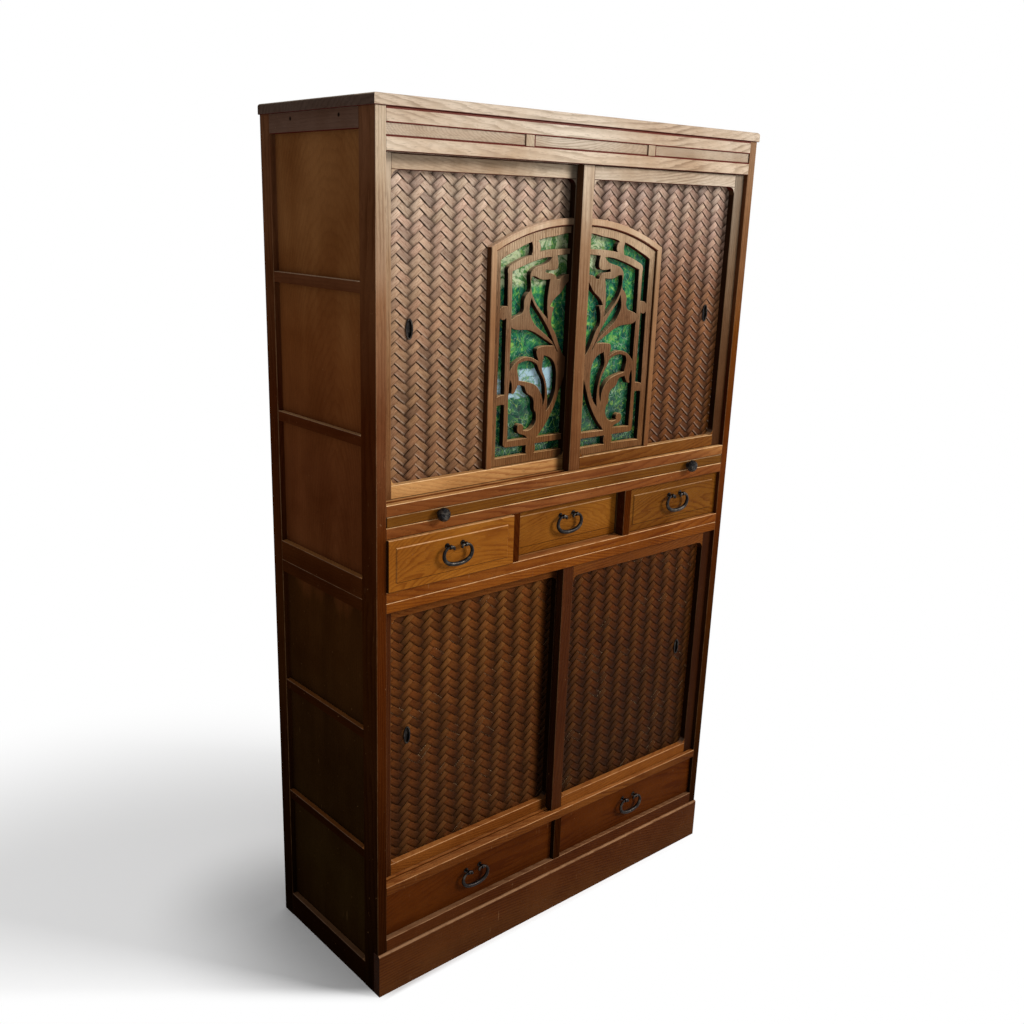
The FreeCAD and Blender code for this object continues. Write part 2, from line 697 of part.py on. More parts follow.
def moving_pieces():
    door("upper_right_door", upper_sill_top, upper_head_foot, front_track_recess, False, right_arch_half_width)
    door("upper_left_door", upper_sill_top, upper_head_foot, rear_track_recess, True, left_arch_half_width)
    door("lower_right_door", lower_sill_top, lower_head_foot, front_track_recess, False, 0)
    door("lower_left_door", lower_sill_top, lower_head_foot, rear_track_recess, True, 0)
    save("pull_out_board", pull_out_board())
    save("pull_out_board_knobs", knob())
    inner = divider_centre - divider_width / 2
    outer = divider_centre + divider_width / 2
    drawer("small_left_drawer", -opening_half, -outer, small_drawer_floor, small_drawer_opening, small_left_out, True)
    drawer("small_middle_drawer", -inner, inner, small_drawer_floor, small_drawer_opening, small_middle_out, True)
    drawer("small_right_drawer", outer, opening_half, small_drawer_floor, small_drawer_opening, small_right_out, True)
    half = divider_width / 2
    drawer("base_left_drawer", -opening_half, -half, base_drawer_floor, base_drawer_opening, base_left_out, False)
    drawer("base_right_drawer", half, opening_half, base_drawer_floor, base_drawer_opening, base_right_out, False)


os.makedirs("parts", exist_ok=True)
case()
moving_pieces()
print("overall", case_width + top_overhang * 2, case_depth + front_reach, overall_height, "front plane at y", -middle_y)
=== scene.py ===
import json
import math
import random

import bmesh
import bpy
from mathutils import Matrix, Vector


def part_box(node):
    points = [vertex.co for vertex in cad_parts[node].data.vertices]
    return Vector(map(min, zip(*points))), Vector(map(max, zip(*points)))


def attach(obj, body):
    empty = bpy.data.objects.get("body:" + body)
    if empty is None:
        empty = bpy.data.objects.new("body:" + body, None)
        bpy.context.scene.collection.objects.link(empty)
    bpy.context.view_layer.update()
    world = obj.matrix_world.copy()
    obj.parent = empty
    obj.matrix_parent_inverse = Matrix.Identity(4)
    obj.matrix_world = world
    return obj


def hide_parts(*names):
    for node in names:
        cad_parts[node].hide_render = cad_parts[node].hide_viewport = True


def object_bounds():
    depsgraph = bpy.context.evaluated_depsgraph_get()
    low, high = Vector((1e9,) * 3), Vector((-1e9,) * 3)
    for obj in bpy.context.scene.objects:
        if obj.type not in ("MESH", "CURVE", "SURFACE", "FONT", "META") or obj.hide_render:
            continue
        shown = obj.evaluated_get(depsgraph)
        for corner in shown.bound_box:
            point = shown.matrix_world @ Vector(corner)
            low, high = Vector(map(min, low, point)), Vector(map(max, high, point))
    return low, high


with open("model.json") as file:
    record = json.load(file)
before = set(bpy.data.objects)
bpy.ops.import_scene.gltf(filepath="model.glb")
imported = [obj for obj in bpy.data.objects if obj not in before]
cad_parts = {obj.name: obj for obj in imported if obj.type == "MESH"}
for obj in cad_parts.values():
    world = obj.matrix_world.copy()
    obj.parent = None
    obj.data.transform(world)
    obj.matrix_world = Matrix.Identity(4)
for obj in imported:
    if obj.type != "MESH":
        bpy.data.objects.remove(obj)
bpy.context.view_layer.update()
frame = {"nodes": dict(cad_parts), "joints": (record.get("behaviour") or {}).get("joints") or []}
nodes = frame["nodes"]
print("stage: frame loaded,", len(nodes), "nodes")


def addObject(name, data):
    made = bpy.data.objects.new(name, data)
    bpy.context.scene.collection.objects.link(made)
    return made


# Camera, placed as the photograph was taken
cameraSet = {
    "place": (-1.5551, -1.7165, 1.5736),
    "turn": (72.6989, -1.5657, -40.0242),
    "lens": 37.694,
    "shiftX": 0.0243,
    "shiftY": 0.0303,
}
cameraData = bpy.data.cameras.new("viewCamera")
cameraData.lens = cameraSet["lens"]
cameraData.sensor_width = 36
cameraData.shift_x = cameraSet["shiftX"]
cameraData.shift_y = cameraSet["shiftY"]
camera = addObject("viewCamera", cameraData)
camera.location = cameraSet["place"]
camera.rotation_euler = [math.radians(angle) for angle in cameraSet["turn"]]
bpy.context.scene.camera = camera
bpy.context.scene.view_settings.view_transform = "Standard"


def tone(red, green, blue):
    # A colour as it looks on screen, 0 to 255, made linear
    made = []
    for value in (red / 255, green / 255, blue / 255):
        made.append(value / 12.92 if value <= 0.04045 else ((value + 0.055) / 1.055) ** 2.4)
    return (*made, 1)


def connect(tree, value, socket):
    if isinstance(value, bpy.types.NodeSocket):
        tree.links.new(value, socket)
    elif value is not None:
        socket.default_value = value


def addNode(tree, kind, inputs=None, **settings):
    made = tree.nodes.new("ShaderNode" + kind)
    for name, value in settings.items():
        setattr(made, name, value)
    for name, value in (inputs or {}).items():
        connect(tree, value, made.inputs[name])
    return made


def maths(tree, operation, *values):
    return addNode(tree, "Math", dict(enumerate(values)), operation=operation).outputs[0]


def minus(tree, first, second):
    return maths(tree, "SUBTRACT", first, second)


def larger(tree, first, second):
    return maths(tree, "MAXIMUM", first, second)


def scaled(tree, value, factor, added):
    return maths(tree, "MULTIPLY_ADD", value, factor, added)


def times(tree, first, second):
    return maths(tree, "MULTIPLY", first, second)


def split(tree, vector):
    return addNode(tree, "SeparateXYZ", {0: vector}).outputs


def grey(tree, value):
    return addNode(tree, "CombineColor", {0: value, 1: value, 2: value}).outputs[0]


def mix(tree, factor, first, second, blend="MIX"):
    made = addNode(tree, "Mix", {0: factor, 6: first, 7: second}, data_type="RGBA", blend_type=blend)
    return made.outputs[2]


def tinted(tree, colour, tint):
    return mix(tree, 1.0, colour, tint, "MULTIPLY")


def remap(tree, value, low, high, outLow=0.0, outHigh=1.0):
    inputs = {"Value": value, "From Min": low, "From Max": high, "To Min": outLow, "To Max": outHigh}
    return addNode(tree, "MapRange", inputs, interpolation_type="SMOOTHSTEP").outputs["Result"]


def ramp(tree, value, stops):
    made = addNode(tree, "ValToRGB", {"Fac": value})
    line = made.color_ramp
    while len(line.elements) < len(stops):
        line.elements.new(0.5)
    for element, (place, colour) in zip(line.elements, stops):
        element.position = place
        element.color = colour
    return made.outputs["Color"]


def noise(tree, place, scale, detail=2.0, roughness=0.5, distortion=0.0):
    inputs = {"Vector": place, "Scale": scale, "Detail": detail, "Roughness": roughness}
    return addNode(tree, "TexNoise", {**inputs, "Distortion": distortion}).outputs


def stretched(tree, place, scale, offset=(0, 0, 0)):
    return addNode(tree, "Mapping", {"Vector": place, "Location": offset, "Scale": scale}).outputs["Vector"]


def raised(tree, height, strength, distance):
    # A surface normal bumped by a height
    bump = addNode(tree, "Bump", {"Height": height, "Strength": strength, "Distance": distance})
    return bump.outputs["Normal"]


def ownPlace(tree):
    return addNode(tree, "TexCoord").outputs["Object"]


def newGroup(name, inputs, outputs):
    # An input that starts as three numbers is a vector, everything else is one value
    tree = bpy.data.node_groups.new(name, "ShaderNodeTree")
    for label, start in inputs.items():
        kind = "NodeSocketVector" if isinstance(start, tuple) else "NodeSocketFloat"
        socket = tree.interface.new_socket(name=label, in_out="INPUT", socket_type=kind)
        socket.default_value = start
    for label in outputs:
        tree.interface.new_socket(name=label, in_out="OUTPUT", socket_type="NodeSocketFloat")
    return tree, tree.nodes.new("NodeGroupInput").outputs, tree.nodes.new("NodeGroupOutput").inputs


def useGroup(tree, group, inputs=None):
    return addNode(tree, "Group", inputs, node_tree=group).outputs


def makeBoardGrain():
    # Growth rings cut by the board, with the first axis of Place along the grain
    inputs = {"Place": (0.0, 0.0, 0.0), "Ring Spacing": 0.006, "Arch": 0.1, "Wander": 0.03,
              "Pith": (0.0, 0.08, 0.05)}
    tree, given, out = newGroup("boardGrain", inputs, ("Figure", "Pores", "Patch"))
    slow = noise(tree, stretched(tree, given["Place"], (1.6, 9, 9)), 1.0, 3.0)["Color"]
    centred = addNode(tree, "VectorMath", {0: slow, 1: (0.5, 0.5, 0.5)}, operation="SUBTRACT").outputs[0]
    bent = addNode(tree, "VectorMath", {0: centred, "Scale": given["Wander"]}, operation="SCALE").outputs[0]
    moved = addNode(tree, "VectorMath", {0: given["Place"], 1: bent}, operation="ADD").outputs[0]
    away = addNode(tree, "VectorMath", {0: moved, 1: given["Pith"]}, operation="ADD").outputs[0]
    parts = split(tree, away)
    run = minus(tree, parts[0], 0.3)
    leaned = maths(tree, "ADD", parts[1], times(tree, times(tree, run, run), given["Arch"]))
    flat = addNode(tree, "CombineXYZ", {1: leaned, 2: parts[2]}).outputs[0]
    radius = addNode(tree, "VectorMath", {0: flat}, operation="LENGTH").outputs["Value"]
    fine = noise(tree, stretched(tree, given["Place"], (14, 160, 160)), 1.0, 3.0, 0.6)["Fac"]
    phase = maths(tree, "ADD", maths(tree, "DIVIDE", radius, given["Ring Spacing"]), times(tree, fine, 0.9))
    part = maths(tree, "FRACT", phase)
    dark = times(tree, remap(tree, part, 0.35, 0.92), remap(tree, part, 1.0, 0.93))
    connect(tree, dark, out["Figure"])
    dashes = noise(tree, stretched(tree, given["Place"], (70, 900, 900)), 1.0, 2.0, 0.55)["Fac"]
    pores = times(tree, remap(tree, dashes, 0.54, 0.68), remap(tree, part, 0.7, 0.1, 0.35, 1.0))
    connect(tree, pores, out["Pores"])
    patch = noise(tree, stretched(tree, given["Place"], (2.2, 14, 14), (3.1, 1.7, 5.3)), 1.0, 3.0)["Fac"]
    connect(tree, remap(tree, patch, 0.3, 0.7), out["Patch"])
    return tree


def makeFacing():
    # Which way the surface looks, from the object's own normal, and which arris it belongs to
    masks = ("Front", "Up", "Under", "Rubbed Edge", "Lower Edge", "Side Edge")
    tree, given, out = newGroup("facing", {"Wear": 1.0}, masks)
    coords = addNode(tree, "TexCoord").outputs
    parts = split(tree, coords["Normal"])
    ahead = larger(tree, times(tree, parts[1], -1.0), 0.0)
    above = larger(tree, parts[2], 0.0)
    below = larger(tree, times(tree, parts[2], -1.0), 0.0)
    beside = maths(tree, "ABSOLUTE", parts[0])
    connect(tree, remap(tree, ahead, 0.35, 0.75), out["Front"])
    connect(tree, remap(tree, above, 0.5, 0.85), out["Up"])
    connect(tree, remap(tree, below, 0.4, 0.8), out["Under"])
    patches = noise(tree, coords["Object"], 26, 4.0, 0.65)["Fac"]
    rubbed = times(tree, remap(tree, patches, 0.32, 0.6, 0.3, 1.0), given["Wear"])
    upper = remap(tree, times(tree, ahead, above), 0.08, 0.36)
    upright = times(tree, remap(tree, times(tree, ahead, beside), 0.12, 0.45), 0.14)
    connect(tree, times(tree, larger(tree, upper, upright), rubbed), out["Rubbed Edge"])
    connect(tree, remap(tree, times(tree, ahead, below), 0.08, 0.36), out["Lower Edge"])
    sideEdge = remap(tree, times(tree, beside, above), 0.1, 0.4)
    connect(tree, times(tree, sideEdge, rubbed), out["Side Edge"])
    return tree


def makeHandling():
    # Small dents, rubbed spots and fine scratches
    tree, given, out = newGroup("handling", {"Amount": 1.0}, ("Marks", "Grime"))
    place = ownPlace(tree)
    spots = noise(tree, place, 120, 2.0, 0.7)["Fac"]
    lines = noise(tree, stretched(tree, place, (260, 260, 22)), 1.0, 1.0)["Fac"]
    marks = larger(tree, remap(tree, spots, 0.70, 0.78), remap(tree, lines, 0.76, 0.84))
    connect(tree, times(tree, marks, given["Amount"]), out["Marks"])
    cloud = noise(tree, place, 7, 5.0, 0.62)["Fac"]
    connect(tree, remap(tree, cloud, 0.35, 0.75), out["Grime"])
    return tree


boardGrain = makeBoardGrain()
facing = makeFacing()
handling = makeHandling()
overallHeight = 1.745
frontDepth = -0.12
stripFamily = 400
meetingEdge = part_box("upper_right_door_stiles")[0].x
# Painted shadow where the rear doors pass behind the front ones
tuckShadow = {"from": 0.031, "to": 0.008, "wood": 0.26, "glass": 0.5}


def newMaterial(name):
    made = bpy.data.materials.new(name)
    made.use_nodes = True
    tree = made.node_tree
    return made, tree, tree.nodes["Principled BSDF"]


def setShader(tree, shader, inputs):
    for name, value in inputs.items():
        connect(tree, value, shader.inputs[name])


def byHeight(tree, height, tones):
    return ramp(tree, height, [(level / overallHeight, tone(*colour)) for level, *colour in tones])


def paintTuckShadow(tree, colour, across, least):
    # Painted shadow: the rear doors darken where they pass behind the front ones
    shade = remap(tree, across, meetingEdge - tuckShadow["from"], meetingEdge - tuckShadow["to"], 1.0, least)
    return tinted(tree, colour, grey(tree, shade))


def alongGrain(tree, place, axis):
    # Turns the object's own coordinates so that the grain runs along the first axis
    parts = split(tree, place)
    order = {"x": (0, 2, 1), "y": (1, 2, 0), "z": (2, 0, 1)}[axis]
    return addNode(tree, "CombineXYZ", {k: parts[order[k]] for k in range(3)}).outputs[0]


# Colours down the height of each kind of part: metres from the floor, then the colour. Their darkening
# towards the floor is partly sun fading above and partly painted shade
railTones = [
    (0.02, 80, 45, 17), (0.14, 76, 36, 9), (0.25, 104, 58, 18), (0.6, 104, 56, 16), (0.86, 124, 67, 14),
    (1.045, 124, 72, 34), (1.09, 162, 110, 58), (1.3, 150, 108, 70), (1.5, 178, 152, 122),
    (1.66, 214, 194, 170), (1.74, 214, 198, 178)]
postTones = [
    (0.05, 38, 17, 4), (0.4, 52, 22, 4), (0.7, 76, 35, 9), (1.0, 79, 37, 9), (1.2, 110, 68, 42),
    (1.4, 146, 108, 78), (1.6, 204, 184, 158), (1.74, 208, 190, 166)]
sideTones = [(0.05, 40, 20, 7), (0.5, 58, 30, 12), (0.9, 78, 42, 20), (1.3, 92, 54, 30), (1.74, 82, 66, 58)]
sidePostTones = [
    (0.05, 22, 10, 2), (0.3, 33, 16, 5), (0.75, 52, 26, 7), (0.9, 59, 28, 8), (1.2, 70, 32, 11),
    (1.5, 96, 60, 36), (1.74, 104, 68, 46)]
sideRailTones = [
    (0.05, 24, 10, 2), (0.75, 50, 23, 6), (0.9, 60, 29, 9), (1.2, 70, 33, 13), (1.6, 90, 56, 35),
    (1.7, 88, 66, 55), (1.74, 88, 66, 55)]
# Upward faces, painted lighter as if lit from above
litTopTones = [
    (0.1, 150, 110, 78), (0.25, 186, 118, 60), (0.86, 190, 124, 66), (1.05, 235, 180, 116),
    (1.74, 238, 218, 196)]
# Top arrises: worn wood with a painted highlight
wornLitEdgeTones = [
    (0.1, 150, 112, 80), (0.25, 196, 146, 100), (0.86, 226, 176, 126), (1.05, 244, 202, 150),
    (1.74, 238, 196, 140)]
panelTones = [
    (0.05, 36, 22, 7), (0.2, 40, 27, 9), (0.5, 43, 26, 9), (0.82, 57, 32, 11), (0.88, 90, 50, 25),
    (1.05, 97, 54, 28), (1.3, 114, 67, 33), (1.5, 122, 79, 43), (1.74, 126, 84, 48)]
# Edges and inner walls of door frames and drawers, painted dark as shade
shadedEdgeTones = [(0.25, 40, 19, 6), (0.9, 46, 24, 9), (1.3, 60, 34, 17), (1.7, 72, 48, 30)]
amberTones = [(0.86, 150, 92, 27), (1.0, 150, 94, 30)]
baseTones = [(0.12, 72, 33, 5), (0.24, 80, 37, 6)]
rightPostTones = [
    (0.05, 34, 15, 3), (0.6, 58, 30, 8), (1.0, 93, 45, 15), (1.3, 113, 66, 23), (1.6, 146, 110, 79),
    (1.74, 170, 140, 112)]
innerTones = [(0.1, 84, 56, 32), (1.7, 120, 86, 54)]
fretTones = [
    (1.05, 122, 84, 48), (1.2, 112, 78, 50), (1.35, 124, 92, 66), (1.45, 148, 124, 97),
    (1.52, 188, 162, 132)]
# The sawn walls of the fretwork, painted dark as shadow
fretWallShadowTones = [(1.0, 16, 9, 5), (1.6, 24, 14, 8)]
doorTones = [
    (0.25, 122, 70, 24), (0.55, 100, 52, 16), (0.84, 110, 62, 22), (1.08, 172, 124, 72), (1.3, 142, 96, 56),
    (1.5, 172, 140, 106), (1.64, 206, 188, 164), (1.74, 206, 188, 166)]
leftSillTones = [
    (1.05, 202, 152, 94), (1.1, 198, 148, 92), (1.3, 150, 104, 62), (1.5, 172, 140, 106),
    (1.64, 210, 192, 168)]
rightSillTones = [
    (1.05, 121, 73, 26), (1.1, 123, 75, 28), (1.3, 142, 96, 56), (1.5, 172, 140, 106), (1.64, 208, 190, 168)]
stileTones = [
    (0.25, 66, 33, 11), (0.84, 76, 38, 13), (1.08, 108, 68, 37), (1.2, 124, 84, 52), (1.35, 140, 104, 72),
    (1.5, 168, 138, 108), (1.64, 202, 182, 158), (1.74, 204, 186, 164)]

woodDefaults = {"side": shadedEdgeTones, "figure": 0.5, "pores": 0.3, "rough": 0.5, "spec": 0.02}
woodKinds = {
    "rail": {"front": railTones, "side": sideTones, "figure": 0.6},
    "post": {"front": postTones, "side": sidePostTones, "pores": 0.25, "spec": 0.0},
    "sideRail": {"front": sideRailTones, "side": sideRailTones, "figure": 0.2, "pores": 0.15, "spec": 0.0},
    "sidePanel": {"front": panelTones, "side": panelTones, "figure": 0.2, "pores": 0.15, "rough": 0.46,
                  "spec": 0.0},
    "stile": {"front": stileTones},
    "door": {"front": doorTones, "figure": 0.55},
    "moulding": {"front": stileTones, "figure": 0.2, "pores": 0.12},
    "fret": {"front": fretTones, "side": fretWallShadowTones, "figure": 0.7, "pores": 0.75, "rough": 0.6},
    "amber": {"front": amberTones, "pores": 0.22, "rough": 0.36, "spec": 0.015},
    "base": {"front": baseTones, "side": sideTones, "figure": 0.45, "pores": 0.22, "rough": 0.38,
             "spec": 0.01},
    "inner": {"front": innerTones, "side": innerTones, "figure": 0.25, "pores": 0.2, "rough": 0.62,
              "spec": 0.06},
}
woodColours = {
    "grain": (168, 118, 84),
    "bleachedGrain": (160, 148, 134),
    "pores": (38, 22, 14),
    "patch": (230, 222, 216),
    "grime": (228, 218, 208),
    "stain": (104, 88, 66),
    "under": (52, 20, 8),
    "bleachedUnder": (74, 18, 12),
    "bleachedArris": (88, 28, 20),
    "sideArris": (140, 116, 98),
    "marks": (170, 128, 88),
    "lacquer": (92, 22, 18),
    "nail": (20, 12, 8),
}
woodLook = {
    "heightDrift": 0.035,
    "bleached": (0.72, 0.98),
    "rightHand": (0.2, 0.4),
    "upShare": 0.4,
    "upShareAhead": 0.45,
    "uneven": (0.35, 0.62),
    "leastFigure": 0.35,
    "stainRagged": 0.05,
    "under": 0.92,
    "arris": 0.75,
    "sideArris": 0.35,
    "marks": 0.2,
    "lacquer": 0.9,
    "nailRadius": (0.0045, 0.0022),
    "shadeFall": (0.05, 0.5),
    "roughBleached": 0.18,
    "roughPores": 0.18,
    "roughGrime": 0.08,
    "figureRelief": 0.6,
    "markRelief": -0.8,
    "bump": (0.5, 0.0006),
}
plain = (1.0, 1.0, 1.0, 1.0)


def woodMaterial(name, kind, axis, pith=(0.0, 0.08, 0.05), spacing=0.0065, shade=1.0, wear=1.0, wander=0.03,
                 arch=0.1, bands=(), rightShade=1.0, stain=None, nails=(), front=None, rightFront=None,
                 uprights=(), shadowTucked=False):
    look = {**woodDefaults, **woodKinds[kind]}
    colours = {part: tone(*colour) for part, colour in woodColours.items()}
    made, tree, shader = newMaterial(name)
    place = ownPlace(tree)
    grain = useGroup(tree, boardGrain, {
        "Place": alongGrain(tree, place, axis), "Ring Spacing": spacing, "Wander": wander, "Pith": pith,
        "Arch": arch})
    turned = useGroup(tree, facing, {"Wear": wear})
    used = useGroup(tree, handling)
    across, depth, level = split(tree, place)
    height = maths(tree, "DIVIDE", level, overallHeight)
    patches = minus(tree, grain["Patch"], 0.5)
    height = scaled(tree, patches, woodLook["heightDrift"], height)
    bleached = remap(tree, height, *woodLook["bleached"])
    front = byHeight(tree, height, front or look["front"])
    if rightFront:
        share = remap(tree, across, *woodLook["rightHand"])
        front = mix(tree, share, front, byHeight(tree, height, rightFront))
    side = byHeight(tree, height, look["side"])
    # Only the front of the cabinet has seen the sun; other faces take the side tones, which on door frames,
    # drawers and mouldings are painted shade
    ahead = maths(tree, "LESS_THAN", depth, frontDepth)
    colour = mix(tree, times(tree, turned["Front"], ahead), side, front)
    # Upward faces are painted lighter, as if lit from above
    upShare = scaled(tree, ahead, woodLook["upShareAhead"], woodLook["upShare"])
    above = byHeight(tree, height, litTopTones)
    colour = mix(tree, times(tree, turned["Up"], upShare), colour, above)
    # Sunned grain reads greyer towards the top
    grainTint = mix(tree, bleached, colours["grain"], colours["bleachedGrain"])
    uneven = noise(tree, place, 9, 3.0, 0.5)["Fac"]
    least = woodLook["leastFigure"] * look["figure"]
    strength = times(tree, grain["Figure"], remap(tree, uneven, *woodLook["uneven"], least, look["figure"]))
    colour = mix(tree, strength, colour, tinted(tree, colour, grainTint))
    colour = mix(tree, times(tree, grain["Pores"], look["pores"]), colour, colours["pores"])
    colour = tinted(tree, colour, mix(tree, grain["Patch"], colours["patch"], plain))
    colour = tinted(tree, colour, mix(tree, used["Grime"], plain, colours["grime"]))
    # A ragged darker band along the top of the door rails
    if stain:
        low, high, strength = stain
        ragged = minus(tree, noise(tree, place, 22, 4.0, 0.6)["Fac"], 0.5)
        ragged = scaled(tree, ragged, woodLook["stainRagged"], level)
        topBandShare = times(tree, remap(tree, ragged, low, high), strength)
        colour = mix(tree, topBandShare, colour, colours["stain"])
    # Under the rails the unfaded finish survives and painted shade falls on their undersides and lower
    # arrises
    under = mix(tree, bleached, mix(tree, 0.5, side, colours["under"]), colours["bleachedUnder"])
    lower = larger(tree, turned["Under"], turned["Lower Edge"])
    colour = mix(tree, times(tree, lower, woodLook["under"]), colour, under)
    # Along the top arrises, front and side: worn wood with a painted highlight; in the sunned zone dark red
    # finish and painted shade
    pale = mix(tree, woodLook["arris"], colour, byHeight(tree, height, wornLitEdgeTones))
    pale = mix(tree, bleached, pale, colours["bleachedArris"])
    colour = mix(tree, turned["Rubbed Edge"], colour, pale)
    sideArris = times(tree, turned["Side Edge"], woodLook["sideArris"])
    colour = mix(tree, sideArris, colour, colours["sideArris"])
    colour = mix(tree, times(tree, used["Marks"], woodLook["marks"]), colour, colours["marks"])
    # Dark red lines along the joints: lacquer left in them, with painted shadow under the overhangs and
    # beside the muntins
    for coordinate, lines in ((level, bands), (across, uprights)):
        for low, high in lines:
            above = maths(tree, "GREATER_THAN", coordinate, low)
            inside = times(tree, above, maths(tree, "LESS_THAN", coordinate, high))
            colour = mix(tree, times(tree, inside, woodLook["lacquer"]), colour, colours["lacquer"])
    for nailY, nailZ in nails:
        apart = (minus(tree, depth, nailY), minus(tree, level, nailZ))
        away = addNode(tree, "CombineXYZ", dict(enumerate(apart))).outputs[0]
        radius = addNode(tree, "VectorMath", {0: away}, operation="LENGTH").outputs["Value"]
        colour = mix(tree, remap(tree, radius, *woodLook["nailRadius"]), colour, colours["nail"])
    fall = remap(tree, across, *woodLook["shadeFall"], shade, shade * rightShade)
    colour = tinted(tree, colour, grey(tree, fall))
    # Painted shadow of the front door over the rear door
    if shadowTucked:
        colour = paintTuckShadow(tree, colour, across, tuckShadow["wood"])
    rough = scaled(tree, bleached, woodLook["roughBleached"], look["rough"])
    rough = scaled(tree, grain["Pores"], woodLook["roughPores"], rough)
    rough = scaled(tree, used["Grime"], woodLook["roughGrime"], rough)
    relief = times(tree, grain["Figure"], woodLook["figureRelief"])
    relief = scaled(tree, grain["Pores"], -1.0, relief)
    relief = scaled(tree, used["Marks"], woodLook["markRelief"], relief)
    setShader(tree, shader, {
        "Base Color": colour, "Roughness": rough, "Specular IOR Level": look["spec"],
        "Normal": raised(tree, relief, *woodLook["bump"])})
    return made


ironLook = {
    "dark": (22, 20, 20),
    "rubbed": (92, 84, 74),
    "rust": (46, 32, 24),
    "rustShare": 0.3,
    "rough": (0.26, 0.5),
    "bump": 0.6,
    "metallic": 0.85,
}


def ironMaterial(name, dents=420, depth=0.0004, rubbing=0.6):
    made, tree, shader = newMaterial(name)
    place = ownPlace(tree)
    worn = useGroup(tree, handling)
    cast = noise(tree, place, dents, 4.0, 0.6)["Fac"]
    rubbed = remap(tree, noise(tree, place, 90, 3.0)["Fac"], 0.45, 0.75, 0.0, rubbing)
    colour = mix(tree, rubbed, tone(*ironLook["dark"]), tone(*ironLook["rubbed"]))
    rust = times(tree, worn["Grime"], ironLook["rustShare"])
    colour = mix(tree, rust, colour, tone(*ironLook["rust"]))
    rough = remap(tree, cast, 0.3, 0.7, *ironLook["rough"])
    setShader(tree, shader, {
        "Base Color": colour, "Roughness": rough, "Metallic": ironLook["metallic"],
        "Normal": raised(tree, cast, ironLook["bump"], depth)})
    return made


def thinLines(tree, place, scale, offset, distortion, width):
    # Curling hairlines where a noise field crosses its middle value
    field = noise(tree, stretched(tree, place, (1, 1, 0.8), offset), scale, 1.0, 0.5, distortion)["Fac"]
    return remap(tree, maths(tree, "ABSOLUTE", minus(tree, field, 0.5)), width, width * 0.2)


glassLook = {
    "body": [(0.30, 8, 44, 40), (0.43, 14, 66, 48), (0.52, 26, 84, 52), (0.60, 44, 104, 54),
             (0.68, 92, 130, 56), (0.78, 150, 168, 90)],
    "blue": (30, 74, 84),
    "leaf": (84, 134, 64),
    "sky": (216, 220, 178),
    "window": (176, 206, 222),
    "shadow": (8, 38, 30),
    "veins": (132, 166, 66),
    "glints": (176, 204, 176),
    "blueShare": 0.35,
    "skyShare": 0.75,
    "shadowShare": 0.55,
    "veinShare": 0.6,
    "glintShare": 0.4,
    "lift": (1.1, 1.38, 0.7, 2.1),
    "leftPane": (0.0, -0.02),
    "leftSky": (1.428, 1.44),
    "rightSky": (1.45, 1.47),
    "rightSkyEnd": (0.085, 0.055),
    "windowFoot": (1.214, 1.218),
    "windowHead": (1.273, 1.270),
    "windowEnd": (-0.040, -0.046),
    "wobble": 0.012,
    "rough": (0.08, 0.2),
    "bump": (0.5, 0.0012),
    "transmission": 0.25,
    "spec": 0.06,
    "ior": 1.5,
}


